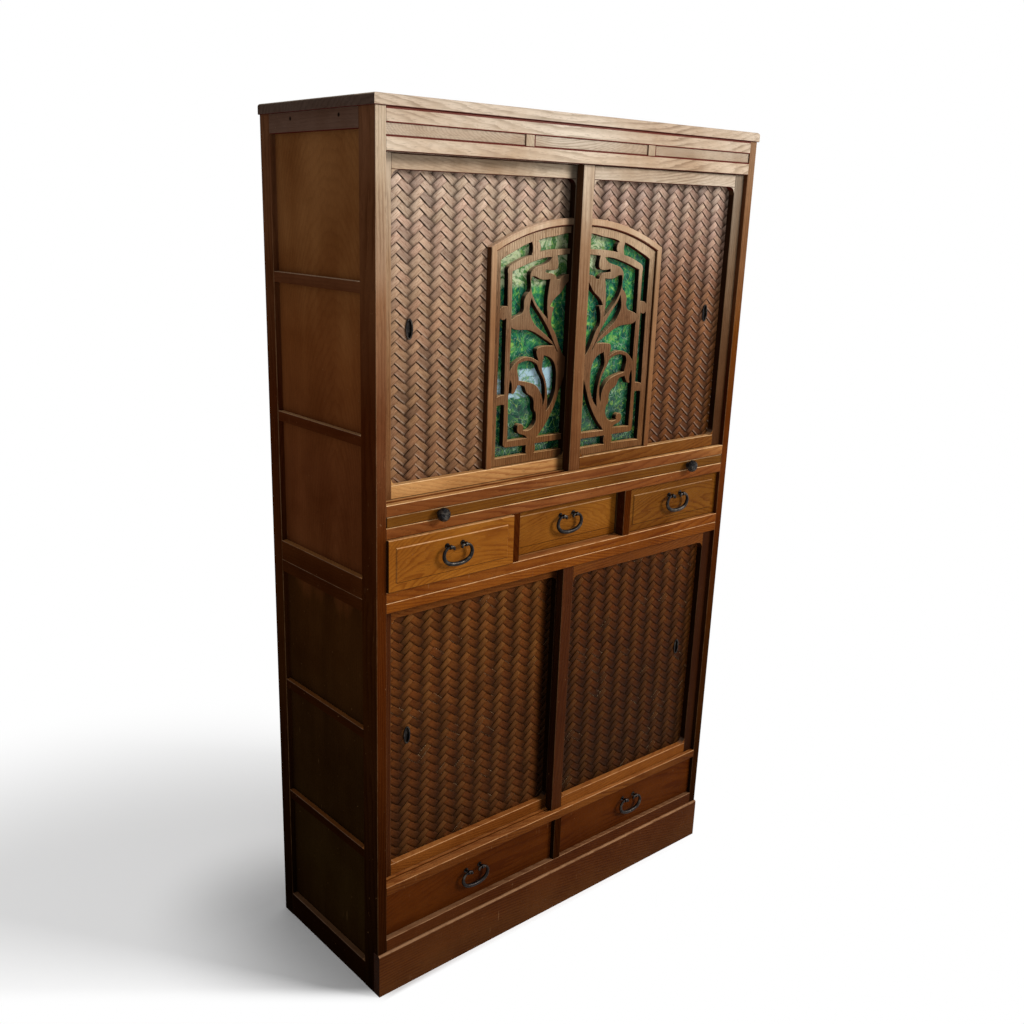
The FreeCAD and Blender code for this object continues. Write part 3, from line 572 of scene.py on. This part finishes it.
def glassMaterial(name, shadowTucked=False):
    # Streaky green cathedral glass with an uneven skin
    look = glassLook
    made, tree, shader = newMaterial(name)
    place = ownPlace(tree)
    swirl = noise(tree, place, 30, 3.0, 0.6, 2.2)["Fac"]
    second = noise(tree, stretched(tree, place, (1, 1, 0.7), (4.0, 2.0, 7.0)), 38, 2.0, 0.5, 3.2)["Fac"]
    across, _, level = split(tree, place)
    colour = ramp(tree, swirl, [(share, tone(*colour)) for share, *colour in look["body"]])
    blue = times(tree, remap(tree, second, 0.56, 0.70), look["blueShare"])
    colour = mix(tree, blue, colour, tone(*look["blue"]))
    # Painted light: the panes are lighter towards the top
    colour = tinted(tree, colour, grey(tree, remap(tree, level, *look["lift"])))
    # Painted reflections of daylight and garden on the upper panes and of a window in one band across the
    # left pane
    wobble = scaled(tree, minus(tree, second, 0.5), look["wobble"], level)
    left = remap(tree, across, *look["leftPane"])
    leftSky = times(tree, left, remap(tree, wobble, *look["leftSky"]))
    rightSky = times(tree, remap(tree, across, *look["rightSkyEnd"]), remap(tree, wobble, *look["rightSky"]))
    sky = times(tree, larger(tree, leftSky, rightSky), look["skyShare"])
    leaf = mix(tree, remap(tree, swirl, 0.42, 0.56), tone(*look["leaf"]), tone(*look["sky"]))
    colour = mix(tree, sky, colour, leaf)
    windowReflection = times(tree, remap(tree, wobble, *look["windowFoot"]), remap(tree, wobble, *look["windowHead"]))
    windowReflection = times(tree, times(tree, windowReflection, left), remap(tree, across, *look["windowEnd"]))
    windowReflection = times(tree, windowReflection, remap(tree, swirl, 0.62, 0.48, 0.15, 0.9))
    colour = mix(tree, windowReflection, colour, tone(*look["window"]))
    shadow = thinLines(tree, place, 30, (2.0, 5.0, 1.0), 1.5, 0.026)
    colour = mix(tree, times(tree, shadow, look["shadowShare"]), colour, tone(*look["shadow"]))
    veins = thinLines(tree, place, 34, (0.0, 1.0, 3.0), 1.7, 0.022)
    colour = mix(tree, times(tree, veins, look["veinShare"]), colour, tone(*look["veins"]))
    # Painted glints of light along the glass
    glints = thinLines(tree, place, 38, (7.0, 2.0, 4.0), 1.5, 0.012)
    colour = mix(tree, times(tree, glints, look["glintShare"]), colour, tone(*look["glints"]))
    # Painted shadow of the front door over the rear pane
    if shadowTucked:
        colour = paintTuckShadow(tree, colour, across, tuckShadow["glass"])
    skin = noise(tree, place, 70, 3.0, 0.5, 1.0)["Fac"]
    setShader(tree, shader, {
        "Base Color": colour, "Roughness": remap(tree, skin, 0.3, 0.7, *look["rough"]),
        "Normal": raised(tree, skin, *look["bump"]), "IOR": look["ior"],
        "Transmission Weight": look["transmission"], "Specular IOR Level": look["spec"]})
    return made


stripLook = {
    "tints": [(0.0, 206, 202, 200), (0.35, 246, 236, 232), (0.7, 240, 238, 228),
              (1.0, 255, 252, 248)],
    "fibre": (186, 162, 144),
    "dust": (96, 70, 52),
    "lit": (236, 216, 194),
    "gap": (38, 20, 9),
    "chip": (214, 186, 146),
    "heightDrift": 0.12,
    "ownShade": (0.9, 1.06),
    "lowerShade": 0.86,
    "fibreShare": 0.75,
    "dustShare": 0.4,
    "litShare": 0.26,
    "chipped": 0.93,
    "roughSpread": 0.16,
    "bump": (0.35, 0.0005),
}


def weaveMaterial(name, tones, paintedSweep, crisp, proudShade, rough, spec, glints=0.0, shadowTucked=False):
    # Flat split strips, each exposed length with its own tone
    # The falling strips lie proud; the shadow along their lower edge and the light and shade along each
    # length are painted
    look = stripLook
    made, tree, shader = newMaterial(name)
    place = ownPlace(tree)
    placeX, _, placeZ = split(tree, place)
    layout = addNode(tree, "UVMap", uv_map="strips").outputs[0]
    parts = split(tree, layout)
    rising = maths(tree, "GREATER_THAN", parts[1], stripFamily / 2)
    proud = minus(tree, 1.0, rising)
    strip = maths(tree, "ROUND", parts[1])
    across = minus(tree, parts[1], strip)
    aside = maths(tree, "ABSOLUTE", across)
    length = maths(tree, "FLOOR", maths(tree, "DIVIDE", maths(tree, "ADD", parts[0], 0.5), 2.0))
    label = addNode(tree, "CombineXYZ", {0: strip, 1: length}).outputs[0]
    own = addNode(tree, "TexWhiteNoise", {"Vector": label}, noise_dimensions="3D").outputs
    whole = addNode(tree, "TexWhiteNoise", {"W": strip}, noise_dimensions="1D").outputs["Value"]
    height = maths(tree, "DIVIDE", placeZ, overallHeight)
    cloud = minus(tree, noise(tree, place, 5.5, 4.0, 0.6)["Fac"], 0.5)
    height = scaled(tree, cloud, look["heightDrift"], height)
    colour = byHeight(tree, height, tones)
    tints = [(share, tone(*tint)) for share, *tint in look["tints"]]
    colour = tinted(tree, colour, ramp(tree, own["Value"], tints))
    # Place along the exposed length: minus one at its bright end, one where it dives under again
    along = maths(tree, "FLOORED_MODULO", maths(tree, "ADD", parts[0], 1.5), 4.0)
    slope = times(tree, minus(tree, along, 2.0), scaled(tree, rising, -2.0, 1.0))
    # Painted light and shade: each exposed length runs from lit to shaded and darker towards one edge, with
    # a random tone per strip, and the proud family gets its own painted shade
    shade = remap(tree, slope, -1.0, 1.0, *paintedSweep)
    shade = times(tree, shade, remap(tree, whole, 0.0, 1.0, *look["ownShade"]))
    shade = times(tree, shade, remap(tree, across, -0.15, 0.48, 1.0, look["lowerShade"]))
    colour = tinted(tree, colour, grey(tree, shade))
    colour = mix(tree, proud, colour, tinted(tree, colour, tone(*proudShade)))
    # Split fibres and dust between them
    fibre = noise(tree, stretched(tree, layout, (1.2, 8.0, 1)), 1.0, 3.0, 0.65)["Fac"]
    specks = noise(tree, stretched(tree, layout, (7.0, 16.0, 1)), 1.0, 2.0, 0.6)["Fac"]
    fibres = remap(tree, fibre, 0.44, 0.68, 0.0, look["fibreShare"])
    colour = mix(tree, fibres, colour, tinted(tree, colour, tone(*look["fibre"])))
    dust = remap(tree, specks, 0.56, 0.72, 0.0, look["dustShare"])
    colour = mix(tree, dust, colour, tone(*look["dust"]))
    # Painted shadow under the proud lower edge, a painted highlight just above it, and painted shade at the
    # ends where a strip dives and along its edges
    line = times(tree, times(tree, remap(tree, across, -0.33, -0.39), proud), remap(tree, slope, 0.75, -0.1))
    lit = times(tree, remap(tree, across, -0.14, -0.26), remap(tree, across, -0.38, -0.31))
    lit = times(tree, times(tree, lit, proud), remap(tree, specks, 0.35, 0.6))
    colour = mix(tree, times(tree, lit, look["litShare"] * crisp), colour, tone(*look["lit"]))
    dark = times(tree, remap(tree, slope, 0.45, 1.05), 0.45 + 0.25 * crisp)
    start = times(tree, remap(tree, slope, -0.88, -1.06), 0.25 + 0.15 * crisp)
    edge = times(tree, remap(tree, aside, 0.38, 0.49), 0.18 + 0.17 * crisp)
    for share in (start, edge, times(tree, line, 0.12 + 0.83 * crisp)):
        dark = larger(tree, dark, share)
    colour = mix(tree, dark, colour, tone(*look["gap"]))
    # Now and then the chipped edge of a strip shows pale wood with a painted glint
    picked = addNode(tree, "SeparateColor", {0: own["Color"]}).outputs[1]
    chipped = maths(tree, "GREATER_THAN", picked, look["chipped"])
    chipped = times(tree, chipped, remap(tree, aside, 0.38, 0.45))
    chipped = times(tree, chipped, remap(tree, specks, 0.54, 0.62))
    colour = mix(tree, times(tree, chipped, glints), colour, tone(*look["chip"]))
    # Painted shadow of the front door over the rear weave
    if shadowTucked:
        colour = paintTuckShadow(tree, colour, placeX, tuckShadow["wood"])
    roughness = remap(tree, fibre, 0.3, 0.7, rough, rough + look["roughSpread"])
    setShader(tree, shader, {
        "Base Color": colour, "Roughness": roughness, "Specular IOR Level": spec,
        "Normal": raised(tree, fibre, *look["bump"])})
    return made


upperWeaveTones = [
    (1.05, 132, 94, 62), (1.25, 148, 112, 82), (1.4, 174, 141, 114), (1.55, 200, 174, 153),
    (1.7, 208, 187, 170)]
upperWeaveDarkTones = [
    (1.05, 101, 59, 21), (1.25, 113, 71, 38), (1.4, 138, 98, 70), (1.55, 180, 154, 138),
    (1.7, 192, 176, 164)]
lowerWeaveTones = [(0.25, 78, 47, 21), (0.5, 84, 50, 22), (0.85, 108, 67, 29)]
lowerWeaveDarkTones = [(0.25, 62, 36, 13), (0.5, 68, 38, 12), (0.85, 86, 49, 17)]
weaveFinishes = {
    "upper_left_door": weaveMaterial(
        "sunnedStrips", upperWeaveTones, (1.12, 0.7), 1.0, (250, 248, 246), 0.45, 0.08, shadowTucked=True),
    "upper_right_door": weaveMaterial(
        "brownStrips", upperWeaveDarkTones, (1.26, 0.5), 0.85, (232, 222, 216), 0.38, 0.05),
    "lower_left_door": weaveMaterial(
        "glossyStrips", lowerWeaveTones, (1.3, 0.5), 0.0, (236, 216, 196), 0.34, 0.02, 0.42, True),
    "lower_right_door": weaveMaterial(
        "glossyStripsRight", lowerWeaveDarkTones, (1.34, 0.46), 0.05, (236, 214, 190), 0.34, 0.02, 0.5),
}
iron = ironMaterial("blackIron")
knobIron = ironMaterial("castKnobIron", 200, 0.014, 0.7)
artGlass = {"left": glassMaterial("greenGlassLeft", True), "right": glassMaterial("greenGlassRight")}


def board(kind, axis, pith, **rest):
    return {"kind": kind, "axis": axis, "pith": pith, **rest}


finishes = {
    "top_board": board("rail", "x", (0.35, -1.55, 0.19), arch=-0.32, spacing=0.012, wander=0.07, wear=0.0),
    "upper_posts": board("post", "z", (-1.15, 0.1, 0.06), arch=0.02, wander=0.05, rightFront=rightPostTones),
    "upper_front_rails": board("rail", "x", (0.3, -1.48, 0.19), arch=-0.26, spacing=0.012, wander=0.07,
        bands=[(1.7256, 1.7297), (1.7039, 1.7062), (1.6827, 1.6849)]),
    "front_dividers": board("post", "z", (0.9, 0.05, 0.03), shade=0.9),
    "frieze_panels": board("rail", "x", (0.4, -1.72, 0.165), arch=-0.9, spacing=0.0042, wander=0.12,
        shade=0.84, bands=[(1.6846, 1.6864)], uprights=[(-0.1540, -0.1492), (0.1748, 0.1796)]),
    "upper_side_rails": board("sideRail", "y", (0.3, -1.2, 0.4), shade=1.15,
        nails=[(-0.070, 1.7185), (0.090, 1.7185)]),
    "side_panels": board("sidePanel", "z", (0.1, 0.48, 0.02)),
    "back_panels": board("inner", "z", (0.3, 0.2, -0.1), shade=0.6),
    "floor_boards": board("inner", "x", (0.5, -0.9, 0.0)),
    "shelves": board("inner", "x", (0.2, -0.95, 0.0)),
    "partitions": board("inner", "y", (0.2, -0.9, 0.0), shade=0.8),
    "lower_posts": board("post", "z", (-0.4, 0.12, 0.02), arch=0.03, wander=0.05, rightFront=rightPostTones),
    "lower_front_rails": board("rail", "x", (1.2, -0.4, 0.12), rightShade=0.85),
    "lower_side_rails": board("sideRail", "y", (0.8, -0.5, 0.4)),
    "plinth": board("rail", "x", (0.9, 0.02, 0.16)),
    "pull_out_board": board("amber", "x", (0.3, -0.98, 0.18), shade=0.51, rightShade=0.86),
    "small_left_drawer_front": board("amber", "x", (0.56, -0.96, 0.15), spacing=0.007, wear=0.6, arch=1.6,
        wander=0.08),
    "small_middle_drawer_front": board("amber", "x", (0.33, -0.98, 0.13), spacing=0.007, shade=0.8, wear=0.5,
        arch=1.9, wander=0.09),
    "small_right_drawer_front": board("amber", "x", (-0.06, -0.95, 0.14), spacing=0.007, shade=0.56,
        wear=0.5, arch=1.6, wander=0.08),
    "base_left_drawer_front": board("base", "x", (0.45, -0.18, 0.1), wear=0.5, arch=0.5),
    "base_right_drawer_front": board("base", "x", (0.1, -0.2, 0.1), wear=0.5, arch=0.5),
}
doorWood = {
    "_stiles": board("stile", "z", (-0.9, 0.12, 0.03), arch=0.03, wander=0.05),
    "_rails": board("door", "x", (0.3, -1.1, 0.11), arch=-0.3, wander=0.05),
    "_arch_moulding": board("moulding", "z", (-1.0, 0.05, 0.2), arch=0.03, wear=0.4, shade=1.25),
    "_box": board("inner", "y", (0.2, -0.9, 0.0), shade=0.9),
}
doorExtras = {
    "upper_left_door_rails": {"stain": (1.642, 1.654, 0.3), "front": leftSillTones},
    "upper_right_door_rails": {"shade": 0.9, "stain": (1.652, 1.664, 0.4), "front": rightSillTones},
    "upper_right_door_stiles": {"rightShade": 0.45},
    "upper_right_door_arch_moulding": {"rightShade": 0.7},
    "lower_right_door_stiles": {"rightShade": 0.5},
}
fretSettings = board("fret", "z", (-1.2, 0.02, 0.1), arch=0.02, spacing=0.005, wear=0.5)


def dress(name, material):
    for slot in nodes[name].material_slots:
        slot.material = material


def finishFor(name):
    if name in finishes:
        return woodMaterial(name + "Wood", **finishes[name])
    for ending, settings in doorWood.items():
        if name.endswith(ending):
            settings = {**settings, **doorExtras.get(name, {})}
            return woodMaterial(name + "Wood", shadowTucked="_left_door_" in name, **settings)
    if name.endswith("_glass"):
        return artGlass["left" if "_left_" in name else "right"]
    if name.endswith("_knobs"):
        return knobIron
    if name.endswith("_pull") or name.endswith("_bail_posts"):
        return iron
    return None


dressed = []
for name in nodes:
    material = finishFor(name)
    if material is not None:
        dress(name, material)
        dressed.append(name)
print("stage: dressed", len(dressed), "nodes")


def addMesh(name, bm, material):
    mesh = bpy.data.meshes.new(name)
    bm.to_mesh(mesh)
    bm.free()
    mesh.materials.append(material)
    return addObject(name, mesh)


def addPiece(name, bm, material, body, replaced):
    piece = addMesh(name, bm, material)
    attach(piece, body)
    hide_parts(replaced)
    return piece


# Woven panels: flat strips cross at a low angle, over two and under two, their ends in columns
weave = {
    "stepX": 0.01215,
    "stepZ": 0.0097,
    "fill": (0.56, 0.497),
    "drift": {
        "upper_left_door": (0.0199, 0.0010, 0.018, -0.0125, 1.555),
        "upper_right_door": (-0.0125, 0.0105, 0.037, -0.038, 1.555),
        "lower_left_door": (0.0055, 0.0020, 0.012, 0.023, 0.745),
        "lower_right_door": (0.0195, -0.0080, 0.006, 0.0086, 0.745),
    },
    "rise": 0.0008,
    "thickness": 0.0008,
    "dome": 0.0005,
    "turn": 0.16,
    "rows": (0.0, 0.36, 0.5, 0.64),
    "tilt": 0.0002,
    "proud": 0.00035,
    "archSteps": 14,
    "pullSteps": 20,
    "pullRim": 0.0012,
}


def overUnder(place):
    # One over two strips, minus one under the next two
    beside = abs((place - 0.5 + 2) % 4 - 2)
    return max(-1.0, min(1.0, (1 - beside) / weave["turn"]))


def stripRows(first, last):
    made = []
    step = math.floor(first)
    while step <= last:
        made += [step + share for share in weave["rows"] if first <= step + share <= last]
        step += 1
    return made


def driftPlace(x, z, drift):
    # The hand-set pattern leans and stretches a little on each door
    alongX, alongZ, lean, stretch, pivot = drift
    return x + alongX + lean * (z - pivot), z + alongZ + stretch * (z - pivot)


def evenPlace(x, z, drift):
    alongX, alongZ, lean, stretch, pivot = drift
    even = (z - alongZ - pivot) / (1 + stretch)
    return x - alongX - lean * even, pivot + even


def addStrip(bm, layer, family, index, rows, middleY, drift, rng):
    width = weave["fill"][family]
    sign = 1 if family == 0 else -1
    grid = bmesh.ops.create_grid(bm, x_segments=len(rows) - 1, y_segments=3, size=1.0)
    lift = {}
    spots = {}
    for vert in grid["verts"]:
        row = rows[round((vert.co.x + 1) / 2 * (len(rows) - 1))]
        across = vert.co.y * (1 if abs(vert.co.y) > 0.9 else 1.35)
        phase = (index - row) if family == 0 else (row - index)
        run = math.floor((phase + 0.5) / 2)
        if run not in lift:
            lift[run] = (rng.uniform(-1, 1), rng.uniform(-1, 1))
        middle = 1 - abs(across)
        height = sign * weave["rise"] * overUnder(phase)
        height += weave["dome"] * middle * (1 if sign * overUnder(phase) > 0 else 0.3)
        height += weave["tilt"] * (lift[run][0] + across * lift[run][1])
        height -= weave["proud"] * across * sign
        alongA, alongB = (index + across * width, row) if family == 0 else (row, index + across * width)
        x, z = driftPlace((alongA - alongB) * weave["stepX"], (alongA + alongB) * weave["stepZ"], drift)
        vert.co = (x, middleY - height, z)
        spots[vert] = (phase + 2 * family, index + across * 0.485 + stripFamily * family)
    for face in {face for vert in grid["verts"] for face in vert.link_faces}:
        for loop in face.loops:
            loop[layer].uv = spots[loop.vert]


def archTop(x, arch):
    # Height of the window's outline at x, or None beside it
    half, spring, crown = arch
    if abs(x) > half:
        return None
    drop = crown - spring
    radius = (half * half + drop * drop) / (2 * drop)
    return crown - radius + math.sqrt(radius * radius - x * x)


def archOutline(arch, low, side):
    # The window's outline on one side of the middle, anticlockwise seen from the front
    half, spring, crown = arch
    steps = [half * (1 - step / weave["archSteps"]) for step in range(weave["archSteps"] + 1)]
    places = [(0.0, low), (half, low)] + [(x, archTop(x, arch)) for x in steps]
    return places if side > 0 else [(-x, z) for x, z in reversed(places)]


def ovalOutline(centreX, centreZ, halfX, halfZ):
    turns = [2 * math.pi * step / weave["pullSteps"] for step in range(weave["pullSteps"])]
    return [(centreX + halfX * math.cos(turn), centreZ + halfZ * math.sin(turn)) for turn in turns]


def cutHole(bm, outline):
    # Splits the strips along a rounded outline and takes away what lies inside it
    margin = weave["stepX"]
    normals = []
    for (x0, z0), (x1, z1) in zip(outline, outline[1:] + outline[:1]):
        across = Vector((z1 - z0, 0, x0 - x1)).normalized()
        normals.append((x0, z0, across))
        near = []
        for face in bm.faces:
            centre = face.calc_center_median()
            besideX = min(x0, x1) - margin < centre.x < max(x0, x1) + margin
            if besideX and min(z0, z1) - margin < centre.z < max(z0, z1) + margin:
                near.append(face)
        geometry = dict.fromkeys(near)
        for face in near:
            geometry.update(dict.fromkeys([*face.verts, *face.edges]))
        bmesh.ops.bisect_plane(bm, geom=list(geometry), plane_co=(x0, 0, z0), plane_no=across)
    inside = []
    for face in bm.faces:
        centre = face.calc_center_median()
        if all((centre.x - x0) * across.x + (centre.z - z0) * across.z < 0 for x0, z0, across in normals):
            inside.append(face)
    bmesh.ops.delete(bm, geom=inside, context="FACES")


def weavePanel(door, arch=None):
    node = door + "_woven_panel"
    low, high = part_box(node)
    rng = random.Random(node)
    bm = bmesh.new()
    layer = bm.loops.layers.uv.new("strips")
    middleY = (low[1] + high[1]) / 2
    cellX, cellZ = weave["stepX"], weave["stepZ"]
    drift = weave["drift"][door]
    reach = [evenPlace(x, z, drift) for x in (low[0], high[0]) for z in (low[2], high[2])]
    leftX, rightX = min(x for x, z in reach), max(x for x, z in reach)
    footZ, headZ = min(z for x, z in reach), max(z for x, z in reach)
    for family in (0, 1):
        lean = -1 if family else 1
        corners = [(z / cellZ + lean * x / cellX) / 2 for x in (leftX, rightX) for z in (footZ, headZ)]
        for index in range(math.floor(min(corners)), math.ceil(max(corners)) + 1):
            fromX = sorted(index - lean * side / cellX for side in (leftX, rightX))
            fromZ = (footZ / cellZ - index, headZ / cellZ - index)
            rows = stripRows(max(fromX[0], fromZ[0]) - 1, min(fromX[1], fromZ[1]) + 1)
            if len(rows) > 2:
                addStrip(bm, layer, family, index, rows, middleY, drift, rng)
    for place, direction in ((low, (-1, 0, 0)), (high, (1, 0, 0)), (low, (0, 0, -1)), (high, (0, 0, 1))):
        everything = bm.verts[:] + bm.edges[:] + bm.faces[:]
        bmesh.ops.bisect_plane(bm, geom=everything, plane_co=place, plane_no=direction, clear_outer=True)
    if arch:
        cutHole(bm, archOutline(arch, low[2] - 0.01, 1 if "right" in door else -1))
    pullLow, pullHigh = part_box(door + "_pull")
    middle = (pullLow + pullHigh) / 2
    half = (pullHigh - pullLow) / 2
    cutHole(bm, ovalOutline(middle.x, middle.z, half.x - weave["pullRim"], half.z - weave["pullRim"]))
    bmesh.ops.recalc_face_normals(bm, faces=bm.faces[:])
    bmesh.ops.solidify(bm, geom=bm.faces[:], thickness=weave["thickness"])
    loose = [vert for vert in bm.verts if not vert.link_faces]
    bmesh.ops.delete(bm, geom=loose, context="VERTS")
    for face in bm.faces:
        face.smooth = True
    return addPiece(door + "_weave", bm, weaveFinishes[door], door, node)


arches = {
    "upper_right_door": (0.22095, 1.5029, 1.55474),
    "upper_left_door": (0.21605, 1.5028, 1.55474),
}
for door in weaveFinishes:
    made = weavePanel(door, arches.get(door))
    print("stage: weave of", door, len(made.data.polygons), "faces")


# Fretwork: the sawn vine is slimmer than its blank, with its arrises eased
fret = {
    "slimming": 0.0007,
    "easing": 0.0006,
    "sawCut": 0.5,
}


def fretPiece(door):
    node = door + "_fretwork"
    bm = bmesh.new()
    bm.from_mesh(nodes[node].data)
    bmesh.ops.remove_doubles(bm, verts=bm.verts[:], dist=0.00001)
    bm.normal_update()
    outward = {}
    for vert in bm.verts:
        walls = [face.normal for face in vert.link_faces if abs(face.normal.y) < fret["sawCut"]]
        if walls:
            mean = sum(walls, Vector()).normalized()
            outward[vert] = mean / max(0.5, min(mean.dot(wall) for wall in walls))
    arrises = []
    for edge in bm.edges:
        facings = sorted(edge.link_faces, key=lambda face: face.normal.y)
        if len(facings) == 2 and facings[0].normal.y < -0.9 and abs(facings[1].normal.y) < fret["sawCut"]:
            arrises.append((edge.verts[0], edge.verts[1], facings[0].normal.copy()))
    for vert, away in outward.items():
        vert.co -= away * fret["slimming"]
    # Each arris becomes a narrow chamfer: the wall starts further back, the face ends further in
    onArris = dict.fromkeys(vert for first, second, facing in arrises for vert in (first, second))
    behind = {vert: bm.verts.new(vert.co + Vector((0, fret["easing"], 0))) for vert in onArris}
    for face in bm.faces[:]:
        if abs(face.normal.y) < fret["sawCut"] and any(vert in behind for vert in face.verts):
            bm.faces.new([behind.get(vert, vert) for vert in face.verts])
            bm.faces.remove(face)
    for first, second, facing in arrises:
        bm.faces.new((first, second, behind[second], behind[first]))
    for vert in onArris:
        vert.co -= outward[vert] * fret["easing"]
    bmesh.ops.recalc_face_normals(bm, faces=bm.faces[:])
    wood = woodMaterial(node + "Wood", shadowTucked="_left_door_" in node, **fretSettings)
    return addPiece(door + "_vine", bm, wood, door, node)


for door in arches:
    made = fretPiece(door)
    print("stage: vine of", door, len(made.data.polygons), "faces")

# Drop handles: a drawn wire, thick at the bottom and curled in at both ends
handle = {
    "path": [(0.0096, -0.0062), (0.0108, -0.0016), (0.0152, 0.0), (0.0225, -0.0002), (0.0295, -0.0038),
             (0.0339, -0.0116), (0.0335, -0.0206), (0.0274, -0.0290), (0.0150, -0.0342), (0.0, -0.0358)],
    "radii": [0.0026, 0.0029, 0.0027, 0.0026, 0.0029, 0.0034, 0.0038, 0.0042, 0.0044, 0.0045],
}


def dropHandle(name, axis):
    shape = bpy.data.curves.new(name + "Wire", "CURVE")
    shape.dimensions = "3D"
    shape.bevel_depth = 1.0
    shape.bevel_resolution = 4
    shape.resolution_u = 5
    shape.use_fill_caps = True
    half = list(zip(handle["path"], handle["radii"]))
    whole = half + [((-x, z), radius) for (x, z), radius in reversed(half[:-1])]
    spline = shape.splines.new("BEZIER")
    spline.bezier_points.add(len(whole) - 1)
    for point, ((x, z), radius) in zip(spline.bezier_points, whole):
        point.co = (axis[0] + x, axis[1], axis[2] + z)
        point.handle_left_type = "AUTO"
        point.handle_right_type = "AUTO"
        point.radius = radius
    wire = addObject(name + "Wire", shape)
    bpy.context.view_layer.update()
    ready = wire.evaluated_get(bpy.context.evaluated_depsgraph_get())
    bm = bmesh.new()
    bm.from_mesh(ready.to_mesh())
    ready.to_mesh_clear()
    bpy.data.objects.remove(wire)
    bmesh.ops.remove_doubles(bm, verts=bm.verts[:], dist=0.00001)
    bmesh.ops.recalc_face_normals(bm, faces=bm.faces[:])
    for face in bm.faces:
        face.smooth = True
    return addPiece(name + "_drop_handle", bm, iron, name + "_bail", name + "_drawer_bail")


for joint in frame["joints"]:
    if joint["type"] == "hinge":
        dropHandle(joint["child"].replace("_bail", ""), joint["pos_m"])
print("stage: drop handles made")

# Floor, background and lamps
studio = {
    "paper": ((0.0, 0.9), (1.0, 0.93)),
    "ambient": 0.42,
    "keyPower": 620,
    "keyPlace": (4.95, -5.9, 4.6),
    "keySize": 2.4,
    "fillSize": 2.0,
    "fillPower": 12,
    "fillPlace": (-2.6, -3.0, 1.6),
    "shadowMiddle": (-0.9, -0.1, 0),
    "floorFade": (0.8, 1.65),
    "floorGlow": 0.3,
    "contact": 0.35,
    "towardsCamera": (-0.617, -0.787, 0),
    "frontFade": (0.42, 0.475),
    "plinthFade": (0.186, 0.2),
}
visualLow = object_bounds()[0]


def makeFloor():
    bm = bmesh.new()
    bmesh.ops.create_grid(bm, x_segments=8, y_segments=8, size=20)
    made, tree, shader = newMaterial("floorWhite")
    place = ownPlace(tree)
    spread = addNode(tree, "VectorMath", {0: place, 1: studio["shadowMiddle"]}, operation="DISTANCE")
    paper = [(share, (level, level, level, 1)) for share, level in studio["paper"]]
    paper = ramp(tree, noise(tree, place, 40, 3.0)["Fac"], paper)
    setShader(tree, shader, {"Base Color": paper, "Roughness": 0.9, "Specular IOR Level": 0.0})
    seen = addNode(tree, "LightPath").outputs
    # The floor has a painted glow for camera rays, left out along the foot of the shaded side where it is
    # darkest, and fades to white far off
    parts = split(tree, place)
    beside = maths(tree, "ADD", parts[0], visualLow[0] * -1)
    beyond = minus(tree, maths(tree, "ABSOLUTE", parts[1]), visualLow[1] * -1)
    beyond = larger(tree, beyond, 0.0)
    near = maths(tree, "SQRT", maths(tree, "ADD", times(tree, beside, beside), times(tree, beyond, beyond)))
    lift = times(tree, remap(tree, near, 0.0, studio["contact"]), studio["floorGlow"])
    lift = times(tree, lift, seen["Is Camera Ray"])
    glow = addNode(tree, "Emission", {"Color": plain, "Strength": lift})
    lifted = addNode(tree, "AddShader", {0: shader.outputs[0], 1: glow.outputs[0]})
    white = addNode(tree, "Emission", {"Color": plain, "Strength": 1.0})
    # It is white right up to the foot of the front, and in the foreground
    closer = addNode(tree, "VectorMath", {0: place, 1: studio["towardsCamera"]}, operation="DOT_PRODUCT")
    inFront = remap(tree, times(tree, parts[1], -1.0), *studio["plinthFade"])
    inFront = times(tree, inFront, remap(tree, beside, -0.03, 0.0))
    farOff = remap(tree, spread.outputs["Value"], *studio["floorFade"])
    share = larger(tree, farOff, remap(tree, closer.outputs["Value"], *studio["frontFade"]))
    share = times(tree, larger(tree, share, inFront), seen["Is Camera Ray"])
    mixed = addNode(tree, "MixShader", {0: share, 1: lifted.outputs[0], 2: white.outputs[0]})
    output = tree.nodes["Material Output"]
    connect(tree, mixed.outputs[0], output.inputs["Surface"])
    addMesh("studioFloor", bm, made)


def makeLamp(name, place, power, size, target=(0, 0, 0.9)):
    data = bpy.data.lights.new(name, "AREA")
    data.energy = power
    data.size = size
    lamp = addObject(name, data)
    lamp.location = place
    lamp.rotation_euler = (Vector(target) - Vector(place)).to_track_quat("-Z", "Y").to_euler()


def makeWorld():
    world = bpy.data.worlds.new("studioWorld")
    bpy.context.scene.world = world
    world.use_nodes = True
    tree = world.node_tree
    tree.nodes.clear()
    seen = addNode(tree, "LightPath").outputs
    clear = larger(tree, seen["Is Glossy Ray"], seen["Is Transmission Ray"])
    clear = larger(tree, seen["Is Camera Ray"], clear)
    ambient = addNode(tree, "Background", {"Color": plain, "Strength": studio["ambient"]})
    white = addNode(tree, "Background", {"Color": plain, "Strength": 1.0})
    mixed = addNode(tree, "MixShader", {0: clear, 1: ambient.outputs[0], 2: white.outputs[0]})
    output = tree.nodes.new("ShaderNodeOutputWorld")
    tree.links.new(mixed.outputs[0], output.inputs["Surface"])


makeFloor()
makeLamp("keyLamp", studio["keyPlace"], studio["keyPower"], studio["keySize"])
makeLamp("fillLamp", studio["fillPlace"], studio["fillPower"], studio["fillSize"])
makeWorld()
print("stage: studio made")
